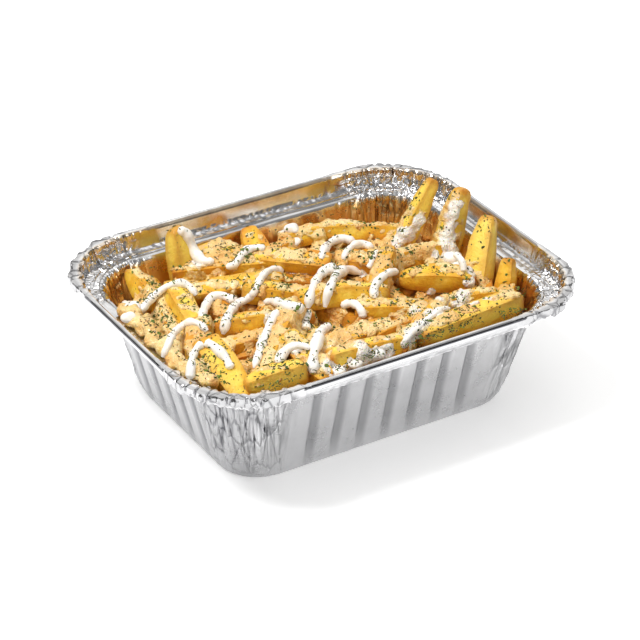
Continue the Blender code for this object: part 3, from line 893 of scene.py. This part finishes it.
bm = packed_core((HEAP_FLOOR, CORE_TOP))
bm.from_mesh(fries_mesh)
for x, y, z, reach in LEDGE_LUMPS:
    squashed = Matrix.Translation(Vector((x, y, z)) * MM) @ Matrix.Diagonal((1, 1.3, 0.75, 1))
    bmesh.ops.create_icosphere(bm, subdivisions=2, radius=reach * MM, matrix=squashed)
bmesh.ops.bisect_plane(
    bm,
    geom=list(bm.verts) + list(bm.edges) + list(bm.faces),
    plane_co=(0, 0, (HEAP_FLOOR - 4) * MM),
    plane_no=(0, 0, -1),
    clear_outer=True,
)
bmesh.ops.holes_fill(bm, edges=[e for e in bm.edges if e.is_boundary], sides=0)
heap = bpy.data.objects.new("heap", mesh_from(bm, "heap"))
bpy.context.scene.collection.objects.link(heap)
remesh = heap.modifiers.new("One skin", "REMESH")
remesh.mode = "VOXEL"
remesh.voxel_size = HEAP_VOXEL * MM
soften = heap.modifiers.new("Soften", "SMOOTH")
soften.factor = 0.5
soften.iterations = 3
sauce_mesh = applied(heap)
bm = bmesh.new()
bm.from_mesh(sauce_mesh)
largest_part(bm)
bm.to_mesh(sauce_mesh)
bm.free()

fry_tree = BVHTree.FromPolygons([Vector(v) * MM for v in fry_verts], fry_faces)
white_spots = [
    (seen_at(fry_tree, across, down), reach / PIXELS_PER_METRE) for across, down, reach in WHITE_POOLS
]

# How far each point stands out from a skin that is smoothed a little, and lies in from one
# that is smoothed much, in mm
edges = np.empty(len(sauce_mesh.edges) * 2, dtype=np.int32)
sauce_mesh.edges.foreach_get("vertices", edges)
edges = edges.reshape(-1, 2)
level_points = np.array([v.co for v in sauce_mesh.vertices])
links = np.bincount(edges.ravel(), minlength=len(level_points))
relaxed = level_points.copy()
for turn_number in range(WIDE_TURNS):
    total = np.zeros_like(relaxed)
    for axis in range(3):
        for here, there in ((0, 1), (1, 0)):
            total[:, axis] += np.bincount(
                edges[:, here], relaxed[edges[:, there], axis], len(relaxed)
            )
    relaxed = 0.5 * relaxed + 0.5 * total / links[:, None]
    if turn_number == FINE_TURNS:
        relaxed_little = relaxed.copy()
normals = np.array([v.normal for v in sauce_mesh.vertices])
bulges = ((level_points - relaxed_little) * normals).sum(axis=1) / MM
hollows = -((level_points - relaxed) * normals).sum(axis=1) / MM

coat_marks, white_marks, hollow_marks, moved = [], [], [], []
for v, bulge, hollow in zip(sauce_mesh.vertices, bulges.tolist(), hollows.tolist()):
    p, n = v.co, v.normal
    spilt = any(
        (p / MM - Vector((x, y, z))).length < SPILT_REACH * reach for x, y, z, reach in LEDGE_LUMPS
    )
    hollow = min(hollow, 0.2) if spilt else hollow
    _, _, face, _ = fry_tree.find_nearest(p, NEAREST_FRY * MM)
    coat, along, bare_from, rise = 0.6, 0.0, 1, 0
    if face is not None:
        corner_vert = fry_faces[face][0]
        _, (_, rise, _), _, _, _, coat, bare_from, _ = fry_rows[fry_owner[corner_vert]]
        along = fry_along[corner_vert]
    # The sauce stays on what faces up, and leaves sharp edges and deep gaps bare
    wander = noise.noise(p * 1000 / 4.5) * 0.7 + noise.noise(p * 1000 / 1.8) * 0.3
    cover = coat - 0.55 + 0.5 * (n.z - 0.3) + 1.15 * wander
    cover -= 1.3 * min(max(bulge - 0.18, 0), 0.5) + 0.75 * smooth_step(hollow, 0.6, 2.2)
    if rise > STANDING:
        cover -= 1.2 * max(0, n.x)
    if bare_from < 1:
        cover -= 3 * max(0, along - bare_from + 0.15 * wander)
    if spilt:
        cover = 0.35 + 0.6 * wander
    if p.z < LOWEST_SAUCE * MM:
        cover = -1
    amount = smooth_step(cover, -0.08, 0.22)
    white = 0.0
    for centre, reach in white_spots:
        white = max(white, 1.3 - (p - centre).length / reach + 0.75 * wander)
    white = smooth_step(white, 0.2, 0.55)
    amount = max(amount, white * 0.9 if coat > 0.1 else 0)
    # It lies in soft lumps and clots, and bare skin sinks below the fries' own surface
    spacing = noise.voronoi(p * 1000 / CLOT_SIZE)[0]
    clot = max(0.0, 0.62 - spacing[0]) * smooth_step(noise.noise(p * 1000 / 7), -0.25, 0.25)
    lumps = 0.6 + 1.2 * noise.noise(p * 1000 / 3.2) + 0.9 * noise.noise(p * 1000 / 1.7) + 2.3 * clot
    step = -SUNK + amount * (SUNK + COAT_THICKNESS * lumps * (1 + 0.25 * white))
    coat_marks.append(amount)
    white_marks.append(white)
    hollow_marks.append(hollow)
    moved.append(p + n * (step * MM))
for v, p in zip(sauce_mesh.vertices, moved):
    space, way = room(p.x / MM, p.y / MM, p.z / MM)
    if space < 0:
        p.x += way[0] * -space * MM
        p.y += way[1] * -space * MM
    v.co = (p.x, p.y, min(p.z, HIGHEST_SAUCE * MM))
set_mark(sauce_mesh, "coat", coat_marks)
set_mark(sauce_mesh, "white", white_marks)
set_mark(sauce_mesh, "bulge", np.clip(bulges, -1, 1))
set_mark(sauce_mesh, "hollow", np.clip(hollow_marks, -3, 3))
sauce_mesh.shade_smooth()
core_mesh = mesh_from(packed_core((CORE_BOTTOM, 4.2, HEAP_FLOOR + 2)), "packed_core")

sauce_finish, net, shader = finish_of(
    "peach_sauce",
    {
        "Subsurface Weight": 0.25,
        "Subsurface Radius": (1.0, 0.6, 0.3),
        "Subsurface Scale": 0.0015,
        "Coat Weight": 0.3,
        "Coat Roughness": 0.15,
    },
)
spot = net.spot()
coat_here = net.mark("coat")
bulge_here = net.mark("bulge")
hollow_here = net.mark("hollow")
swirl = net.noise(spot, 190.0, 4.0, 0.6)
fine = net.noise(spot, 700.0, 3.0, 0.6)
curds = net.noise(spot, 420.0, 3.0, 0.7)
hue = net.noise(spot, 75.0, 2.0) + (swirl - 0.5) * 0.4
upright = net.axis_of(net.node("ShaderNodeNewGeometry", output=1), 2)
thin = net.mix(hue.between(0.38, 0.62), (0.62, 0.26, 0.03, 1), (0.80, 0.49, 0.075, 1))
thick = net.mix(hue.between(0.35, 0.65), (0.83, 0.50, 0.15, 1), (0.92, 0.70, 0.33, 1))
# Painted shade: the sauce takes its thin, darker colour in hollows; ridges and steeper faces take it
# too
depth = coat_here + (fine - 0.5) * 1.5 + (swirl - 0.5) * 1.2 - bulge_here.between(0.25, 0.7) * 0.5
depth = depth - hollow_here.between(-0.4, 1.4) * 0.55 - (0.75 - upright).between(0.0, 0.9) * 0.5
peach = net.mix(depth.between(0.1, 1.05), thin, thick)
# Painted shade: bare places and deep hollows between the fries take a brown that is nearly black,
# partly the food below and partly shade
below = net.mix(swirl.between(0.3, 0.7), (0.13, 0.045, 0.006, 1), (0.36, 0.15, 0.02, 1))
covered = coat_here.between(0.05, 0.4) - hollow_here.between(0.6, 2.2) * 0.9
surface = net.mix(covered, below, peach)
# Painted highlights: the curds' raised peaks are lightened to cream; painted shade: their pits are
# darkened
surface = net.mix(curds.between(0.56, 0.72) * coat_here * 0.55, surface, (0.93, 0.78, 0.52, 1))
surface = net.mix((0.5 - curds).between(0.04, 0.2) * 0.5, surface, (0.55, 0.25, 0.04, 1))
surface = net.mix(net.mark("white"), surface, (0.90, 0.84, 0.75, 1))
wire(surface, shader.inputs["Base Color"])
wire(0.28 + 0.3 * fine, shader.inputs["Roughness"])
bump = net.relief(0.6 * fine + swirl + 1.6 * curds, 0.9, 0.0012)
wire(bump, shader.inputs["Normal"])
add_piece("sauced_heap", sauce_mesh, sauce_finish, "loaded_fries")
# With no coat, the packed core takes the same near-black brown, partly food and partly painted shade
set_mark(core_mesh, "coat", np.zeros(len(core_mesh.vertices)))
add_piece("packed_core", core_mesh, sauce_finish, "loaded_fries")

# White drizzle
# Thick garlic-white sauce squeezed in arcs from a bottle. Each strand sags a little where
# nothing carries it and ends in a small blob.
STEPS_BETWEEN = 6
STRAND_TAUTNESS = 26
STRAND_SMOOTHING = 6
STRAND_FULLNESS = 0.55  # radius as a share of the width that shows

# Each strand's width and way as they show in the photograph, in its pixels
STRANDS = (
    (7.0, ((141, 311), (150, 301), (160, 292), (170, 286), (181, 284), (190, 288), (196, 296))),
    (8.0, ((201, 319), (205, 308), (211, 299), (220, 296), (229, 299), (238, 303))),
    (8.0, ((223, 335), (226, 323), (231, 312), (238, 304), (247, 300), (254, 294))),
    (7.0, ((250, 298), (256, 290), (260, 281), (265, 274), (273, 270), (283, 272))),
    (7.5, ((226, 268), (235, 265), (241, 257), (247, 251), (257, 248), (265, 249))),
    (8.0, ((308, 309), (310, 297), (314, 286), (320, 276), (328, 270), (337, 272))),
    (8.0, ((325, 308), (327, 297), (331, 286), (336, 277), (344, 271), (353, 271), (361, 274))),
    (8.0, ((321, 260), (324, 251), (330, 244), (338, 240), (347, 240), (355, 244))),
    (7.0, ((343, 260), (347, 252), (354, 246), (363, 245), (373, 248))),
    (7.0, ((378, 251), (373, 260), (369, 269))),
    (9.5, ((313, 374), (313, 362), (315, 350), (318, 340), (321, 333), (330, 326))),
    (8.0, ((264, 303), (273, 302), (283, 305), (293, 308), (304, 310))),
    (9.0, ((308, 311), (306, 320), (305, 331))),
    (7.5, ((278, 364), (282, 356), (289, 349), (299, 346), (310, 349))),
    (7.0, ((163, 358), (167, 348), (172, 337), (180, 328), (190, 323), (200, 325), (207, 332))),
    (7.5, ((190, 380), (191, 368), (193, 357), (197, 349), (203, 344))),
    (8.0, ((205, 343), (213, 347), (221, 354), (227, 361), (231, 370))),
    (8.0, ((278, 311), (272, 321), (267, 333), (262, 345), (258, 357), (254, 369))),
    (5.5, ((404, 342), (412, 333), (422, 325), (431, 317), (440, 311), (450, 309))),
    (7.5, ((398, 272), (388, 274), (379, 281), (374, 290), (375, 299))),
    (7.0, ((341, 307), (349, 304), (357, 306), (362, 313), (363, 319))),
    (8.5, ((178, 230), (186, 235), (191, 245), (196, 255), (204, 262), (214, 262))),
    (6.0, ((455, 254), (462, 262), (464, 272))),
)


def tree_of(meshes):
    """A search tree over several meshes at once."""
    verts, polygons = [], []
    for mesh in meshes:
        first = len(verts)
        verts += [v.co.copy() for v in mesh.vertices]
        polygons += [[first + i for i in p.vertices] for p in mesh.polygons]
    return BVHTree.FromPolygons(verts, polygons)


heap_tree = tree_of((fries_mesh, sauce_mesh))
curve = bpy.data.curves.new("drizzle", "CURVE")
curve.dimensions = "3D"
for width, way in STRANDS:
    corners = np.array(way, dtype=float)
    before, after = 2 * corners[0] - corners[1], 2 * corners[-1] - corners[-2]
    corners = np.concatenate([[before], corners, [after]])
    # A smooth curve through the places that show
    seen = []
    for a, b, c, d in zip(corners, corners[1:], corners[2:], corners[3:]):
        for share in np.linspace(0, 1, STEPS_BETWEEN, endpoint=False):
            bend = 2 * a - 5 * b + 4 * c - d, 3 * b - a - 3 * c + d
            seen.append(b + 0.5 * share * ((c - a) + share * (bend[0] + share * bend[1])))
    seen.append(corners[-2])
    # How far away the heap lies along each sight line
    lines = [sight_line(*map(float, spot)) for spot in seen]
    casts = [heap_tree.ray_cast(stand.translation, line)[3] for line in lines]
    known = [far for far in casts if far is not None]
    carried = np.array([far if far is not None else min(known) for far in casts])
    # The strand spans the dips as if it were pulled tight
    far = carried.copy()
    for _ in range(STRAND_TAUTNESS):
        padded = np.pad(far, 1, mode="edge")
        far = np.minimum(carried, (padded[:-2] + padded[1:-1] + padded[2:]) / 3)
    for _ in range(STRAND_SMOOTHING):
        padded = np.pad(far, 1, mode="edge")
        far = (padded[:-2] + padded[1:-1] + padded[2:]) / 3
    radius = STRAND_FULLNESS * width / PIXELS_PER_METRE
    spline = curve.splines.new("POLY")
    spline.points.add(len(lines) - 1)
    for point, line, reach in zip(spline.points, lines, far):
        place = stand.translation + line * reach + Vector((0, 0, 0.2 * radius))
        space, way_in = room(*(place / MM))
        if space < radius / MM:
            shift = radius / MM - space
            place += Vector((way_in[0], way_in[1], 0)) * shift * MM
        point.co = (*place, 1.0)
        point.radius = radius

cream_finish, net, shader = finish_of(
    "white_sauce",
    {
        "Subsurface Weight": 0.3,
        "Subsurface Radius": (1.0, 0.9, 0.75),
        "Subsurface Scale": 0.0012,
    },
)
cloud = net.noise(net.spot(), 220.0, 3.0)
creamy = net.mix(cloud.between(0.35, 0.7), (0.95, 0.93, 0.88, 1), (0.93, 0.86, 0.76, 1))
wire(creamy, shader.inputs["Base Color"])
wire(0.24 + 0.2 * cloud, shader.inputs["Roughness"])
wire(net.relief(cloud, 0.3, 0.0003), shader.inputs["Normal"])


def new_node_group(name):
    """A Geometry Nodes tree with geometry in and out."""
    tree = bpy.data.node_groups.new(name, "GeometryNodeTree")
    tree.interface.new_socket("Geometry", in_out="INPUT", socket_type="NodeSocketGeometry")
    tree.interface.new_socket("Geometry", in_out="OUTPUT", socket_type="NodeSocketGeometry")
    return tree, Net(tree)


def run_tree(obj, tree, settings):
    """Adds the tree to the object as a modifier, sets its named inputs and works it in."""
    modifier = obj.modifiers.new(tree.name, "NODES")
    modifier.node_group = tree
    for item in tree.interface.items_tree:
        if item.item_type == "SOCKET" and item.in_out == "INPUT" and item.name in settings:
            modifier[item.identifier] = settings[item.name]
    return applied(obj)


tree, gn = new_node_group("squeezed_strand")
tree.interface.new_socket("Swelling", in_out="INPUT", socket_type="NodeSocketFloat")
entry = tree.nodes.new("NodeGroupInput")
strand_in = Net(tree, entry.outputs["Geometry"])
swelling = Net(tree, entry.outputs["Swelling"])
fine_curve = gn.node("GeometryNodeResampleCurve", None, {"Curve": strand_in, "Count": 50})
radius_in = gn.node("GeometryNodeInputRadius")
share = gn.node("GeometryNodeSplineParameter", output=0)
place = gn.node("GeometryNodeInputPosition")
wobble = gn.noise(place, 170.0, 1.0)
from_end = gn.sum_of("MINIMUM", share, 1 - share)
blob = gn.node("ShaderNodeMapRange", None, {"Value": from_end, "From Max": 0.1, "To Min": 1.05})
tip = gn.node("ShaderNodeMapRange", None, {"Value": from_end, "From Max": 0.05, "To Min": 0.65})
swell = radius_in * blob * tip * (1 + swelling * (wobble - 0.5))
# The swelling counts twice: in the curve's own radius, and in the scale that reads it
sized = gn.node("GeometryNodeSetCurveRadius", None, {"Curve": fine_curve, "Radius": swell})
ring = gn.node("GeometryNodeCurvePrimitiveCircle", None, {"Resolution": 12, "Radius": 1.0})
values = {"Curve": sized, "Profile Curve": ring, "Scale": swell, "Fill Caps": True}
strand = gn.node("GeometryNodeCurveToMesh", None, values)
solid = gn.node("GeometryNodeRealizeInstances", None, {0: strand})
coloured = gn.node("GeometryNodeSetMaterial", None, {0: solid, "Material": cream_finish})
leave = tree.nodes.new("NodeGroupOutput")
wire(coloured, leave.inputs[0])
holder = bpy.data.objects.new("drizzle", curve)
bpy.context.scene.collection.objects.link(holder)
drizzle_mesh = run_tree(holder, tree, {"Swelling": 0.7})
bm = bmesh.new()
bm.from_mesh(drizzle_mesh)
bmesh.ops.remove_doubles(bm, verts=bm.verts, dist=1e-6)
bmesh.ops.recalc_face_normals(bm, faces=bm.faces)
bm.to_mesh(drizzle_mesh)
bm.free()
drizzle_mesh.shade_smooth()
add_piece("white_drizzle", drizzle_mesh, cream_finish, "loaded_fries")

# Spoonfuls of white sauce
# A few heavier blobs of the same white sauce. They dropped onto the heap and settled into the
# dips between the fries.

# Each spoonful's middle in the photograph's pixels, and its width in mm
DOLLOPS = (
    (283, 221, 9.5), (292, 228, 5.0), (118, 311, 5.0), (129, 317, 4.5), (338, 370, 5.0),
    (356, 363, 4.0), (378, 355, 5.0), (452, 256, 6.0), (462, 262, 5.0),
)

bm = bmesh.new()
for across, down, width in DOLLOPS:
    hit = seen_at(heap_tree, across, down)
    size = Matrix.Diagonal((width / 2 * MM, width / 2 * MM, width / 3 * MM, 1))
    centre = Matrix.Translation(hit - Vector((0, 0, width / 20 * MM)))
    made = bmesh.ops.create_icosphere(bm, subdivisions=4, radius=1.0, matrix=centre @ size)
    for v in made["verts"]:
        away = (v.co - centre.translation).normalized()
        v.co += away * 1.1 * MM * noise.noise(v.co * 1000 / 3)
    for _ in range(20):
        worst, way = min((room(*(v.co / MM)) for v in made["verts"]), key=lambda found: found[0])
        if worst >= 0:
            break
        shift = Vector((way[0], way[1], 0)) * ((0.01 - worst) * MM)
        bmesh.ops.translate(bm, vec=shift, verts=made["verts"])
dollop_mesh = mesh_from(bm, "dollops")
dollop_mesh.shade_smooth()
add_piece("white_dollops", dollop_mesh, cream_finish, "loaded_fries")

# Dried herbs and ground pepper
# Dried parsley and dill crumbled from above, with a turn of the pepper mill. They lie on
# whatever faces up, thick in some places and thin in others.
HERB_DENSITY = 520000.0
PEPPER_DENSITY = 520000.0
LEAF_DENSITY = 90000.0
SKIN_STEP = 0.8
SKIN_HALF_LENGTH = 64
SKIN_HALF_WIDTH = 50
LOWEST_HERB = 26
HERB_CLEARANCE = 1.5
STEEPEST = 2.2
CLUSTER_REACH = 2.6

# Where the herbs lie thickest, in the photograph's pixels
HERB_CLUSTERS = (
    (150, 283), (153, 300), (143, 313), (147, 325), (157, 333), (205, 335), (210, 320), (170, 323),
    (178, 265), (168, 275), (235, 270), (285, 283), (308, 312), (306, 321), (255, 297), (200, 298),
    (245, 252), (395, 250), (415, 262), (470, 278), (465, 287), (455, 298), (440, 292), (452, 328),
    (334, 264), (305, 368), (308, 376), (365, 357), (252, 360), (283, 380), (206, 365), (213, 373),
    (420, 325), (375, 250),
)


def level_at(tree, x, y):
    """How high the topmost surface lies there in mm, and which way it faces."""
    hit, normal, _, _ = tree.ray_cast(Vector((x * MM, y * MM, 0.2)), Vector((0, 0, -1)))
    if hit is None:
        return heap_height(x, y), Vector((0, 0, 1))
    return hit.z / MM, normal


shower_tree = tree_of((fries_mesh, sauce_mesh, drizzle_mesh, dollop_mesh))
xs = np.arange(-SKIN_HALF_LENGTH, SKIN_HALF_LENGTH + 0.1, SKIN_STEP)
ys = np.arange(-SKIN_HALF_WIDTH, SKIN_HALF_WIDTH + 0.1, SKIN_STEP)
skin_verts, dust, leafy_places = [], [], []
clusters = [seen_at(shower_tree, *spot) / MM for spot in HERB_CLUSTERS]
for y in ys:
    for x in xs:
        level, normal = level_at(shower_tree, x, y)
        skin_verts.append(Vector((x, y, level)) * MM)
        heaps = noise.noise(Vector((x, y, 0)) / 11) + 0.6 * noise.noise(Vector((x, y, 9)) / 4)
        clear = room(x, y, level)[0] > HERB_CLEARANCE
        inside = clear and LOWEST_HERB < level < HIGHEST_SAUCE - 0.2
        upright = float(inside) * max(0.0, normal.z - 0.15)
        nearest = min((x - c.x) ** 2 + (y - c.y) ** 2 for c in clusters)
        near = math.exp(-nearest / CLUSTER_REACH**2)
        dust.append(upright * (max(0.1, 0.45 + 1.1 * heaps) + 2.2 * near))
        leafy_places.append(upright * (near + 0.04))
across = len(xs)
skin_faces_list = []
for j in range(len(ys) - 1):
    for i in range(across - 1):
        corner = j * across + i
        quad = (corner, corner + 1, corner + across + 1, corner + across)
        levels_here = [skin_verts[k].z for k in quad]
        if max(levels_here) - min(levels_here) < STEEPEST * MM:
            skin_faces_list.append(quad)


def leaf_mesh(name, rows):
    """A thin curled flake as a closed mesh: rows of half width and rise along its length."""
    made = bmesh.new()
    rings = []
    for share, half, rise in rows:
        x = (share - 0.5) * MM
        corners = ((half, 0.0), (0, 0.14), (-half, 0.02), (0, -0.08))
        rings.append([made.verts.new((x, y * MM, (z + rise) * MM)) for y, z in corners])
    for low, high in zip(rings, rings[1:]):
        for k in range(4):
            j = (k + 1) % 4
            made.faces.new((low[k], low[j], high[j], high[k]))
    made.faces.new(rings[0])
    made.faces.new(rings[-1])
    bmesh.ops.recalc_face_normals(made, faces=made.faces)
    return bpy.data.objects.new(name, mesh_from(made, name))


def scatter(name, finish, shapes, thickness_of, density, seed, small, large):
    """Pieces of these shapes strewn over the heap by Geometry Nodes, as one mesh."""
    skin_mesh = bpy.data.meshes.new(name)
    skin_mesh.from_pydata(skin_verts, [], skin_faces_list)
    set_mark(skin_mesh, "dust", thickness_of)
    kinds = bpy.data.collections.new(name + "_kinds")
    bpy.context.scene.collection.children.link(kinds)
    for shape in shapes:
        kinds.objects.link(shape)
    tree, gn = new_node_group(name)
    for label, kind in (
        ("Density", "NodeSocketFloat"),
        ("Seed", "NodeSocketInt"),
        ("Smallest", "NodeSocketFloat"),
        ("Largest", "NodeSocketFloat"),
    ):
        tree.interface.new_socket(label, in_out="INPUT", socket_type=kind)
    entry = tree.nodes.new("NodeGroupInput")
    skin_in = Net(tree, entry.outputs["Geometry"])
    seed_in = Net(tree, entry.outputs["Seed"])
    amount = gn.node("GeometryNodeInputNamedAttribute", {"data_type": "FLOAT"}, {"Name": "dust"})
    thickly = Net(tree, entry.outputs["Density"]) * amount
    values = {"Mesh": skin_in, "Density": thickly, "Seed": seed_in}
    strewn = gn.node("GeometryNodeDistributePointsOnFaces", None, values)
    turned = Net(tree, strewn.socket.node.outputs["Rotation"])
    values = {0: (-0.45, -0.45, -math.pi), 1: (0.45, 0.45, math.pi), "Seed": seed_in}
    spin = gn.node("FunctionNodeRandomValue", {"data_type": "FLOAT_VECTOR"}, values)
    spin = gn.node("FunctionNodeEulerToRotation", None, {0: spin})
    values = {"Rotation": turned, "Rotate By": spin}
    lie = gn.node("FunctionNodeRotateRotation", {"rotation_space": "LOCAL"}, values)
    values = {
        2: Net(tree, entry.outputs["Smallest"]),
        3: Net(tree, entry.outputs["Largest"]),
        "Seed": seed_in + 7,
    }
    size = gn.node("FunctionNodeRandomValue", {"data_type": "FLOAT"}, values, 1)
    settings = {"transform_space": "ORIGINAL"}
    values = {"Collection": kinds, "Separate Children": True, "Reset Children": True}
    choice = gn.node("GeometryNodeCollectionInfo", settings, values)
    values = {
        "Points": strewn,
        "Instance": choice,
        "Pick Instance": True,
        "Rotation": lie,
        "Scale": size,
    }
    laid = gn.node("GeometryNodeInstanceOnPoints", None, values)
    tint = gn.node("FunctionNodeRandomValue", {"data_type": "FLOAT"}, {"Seed": seed_in + 3}, 1)
    settings = {"data_type": "FLOAT", "domain": "INSTANCE"}
    marked = gn.node(
        "GeometryNodeStoreNamedAttribute", settings, {0: laid, "Name": "tint", "Value": tint}
    )
    solid = gn.node("GeometryNodeRealizeInstances", None, {0: marked})
    coloured = gn.node("GeometryNodeSetMaterial", None, {0: solid, "Material": finish})
    leave = tree.nodes.new("NodeGroupOutput")
    wire(coloured, leave.inputs[0])
    holder = bpy.data.objects.new(name, skin_mesh)
    bpy.context.scene.collection.objects.link(holder)
    values = {"Density": density, "Seed": seed, "Smallest": small, "Largest": large}
    mesh = run_tree(holder, tree, values)
    for shape in shapes:
        bpy.data.objects.remove(shape, do_unlink=True)
    bpy.data.collections.remove(kinds)
    add_piece(name, mesh, finish, "loaded_fries")
    return mesh


herb_finish, net, shader = finish_of("dried_herbs", {"Roughness": 0.75})
leafy = net.node(
    "ShaderNodeValToRGB",
    {
        "stops": (
            (0.0, (0.022, 0.030, 0.005)),
            (0.45, (0.055, 0.078, 0.010)),
            (0.8, (0.10, 0.15, 0.015)),
            (1.0, (0.17, 0.22, 0.03)),
        )
    },
    {0: net.mark("tint")},
)
wire(leafy, shader.inputs["Base Color"])
pepper_finish, net, shader = finish_of("ground_pepper", {"Roughness": 0.7})
peppery = net.mix(net.mark("tint"), (0.02, 0.014, 0.010, 1), (0.13, 0.07, 0.03, 1))
wire(peppery, shader.inputs["Base Color"])
herb_shapes = [
    leaf_mesh("needle", ((0.0, 0.03, 0.0), (0.35, 0.13, 0.1), (0.7, 0.1, 0.12), (1.0, 0.02, 0.0))),
    leaf_mesh("blade", ((0.1, 0.04, 0.0), (0.4, 0.2, 0.05), (0.7, 0.16, 0.12), (0.95, 0.03, 0.2))),
    leaf_mesh("scrap", ((0.2, 0.1, 0.0), (0.45, 0.27, 0.1), (0.65, 0.22, 0.05), (0.85, 0.1, 0.1))),
]
scatter("dried_herbs", herb_finish, herb_shapes, dust, HERB_DENSITY, 5, 0.5, 1.7)
leaf_shapes = [
    leaf_mesh("leaf", ((0.1, 0.06, 0.0), (0.3, 0.3, 0.1), (0.6, 0.36, 0.02), (0.9, 0.1, 0.16))),
    leaf_mesh("torn", ((0.1, 0.2, 0.05), (0.4, 0.24, 0.0), (0.6, 0.4, 0.1), (0.9, 0.16, 0.04))),
]
leaf_finish, net, shader = finish_of("green_leaf", {"Roughness": 0.7})
leaf_green = net.mix(net.mark("tint"), (0.045, 0.085, 0.010, 1), (0.14, 0.20, 0.025, 1))
wire(leaf_green, shader.inputs["Base Color"])
scatter("herb_leaves", leaf_finish, leaf_shapes, leafy_places, LEAF_DENSITY, 3, 1.2, 2.2)
grain_shapes = []
for number in range(3):
    bm = bmesh.new()
    bmesh.ops.create_icosphere(bm, subdivisions=1, radius=0.5 * MM)
    for v in bm.verts:
        v.co *= 1 + 0.5 * noise.noise(v.co * 3000 + Vector((number * 5, 0, 0)))
    grain_shapes.append(bpy.data.objects.new("grain", mesh_from(bm, "grain")))
scatter("ground_pepper", pepper_finish, grain_shapes, dust, PEPPER_DENSITY, 11, 0.22, 0.6)
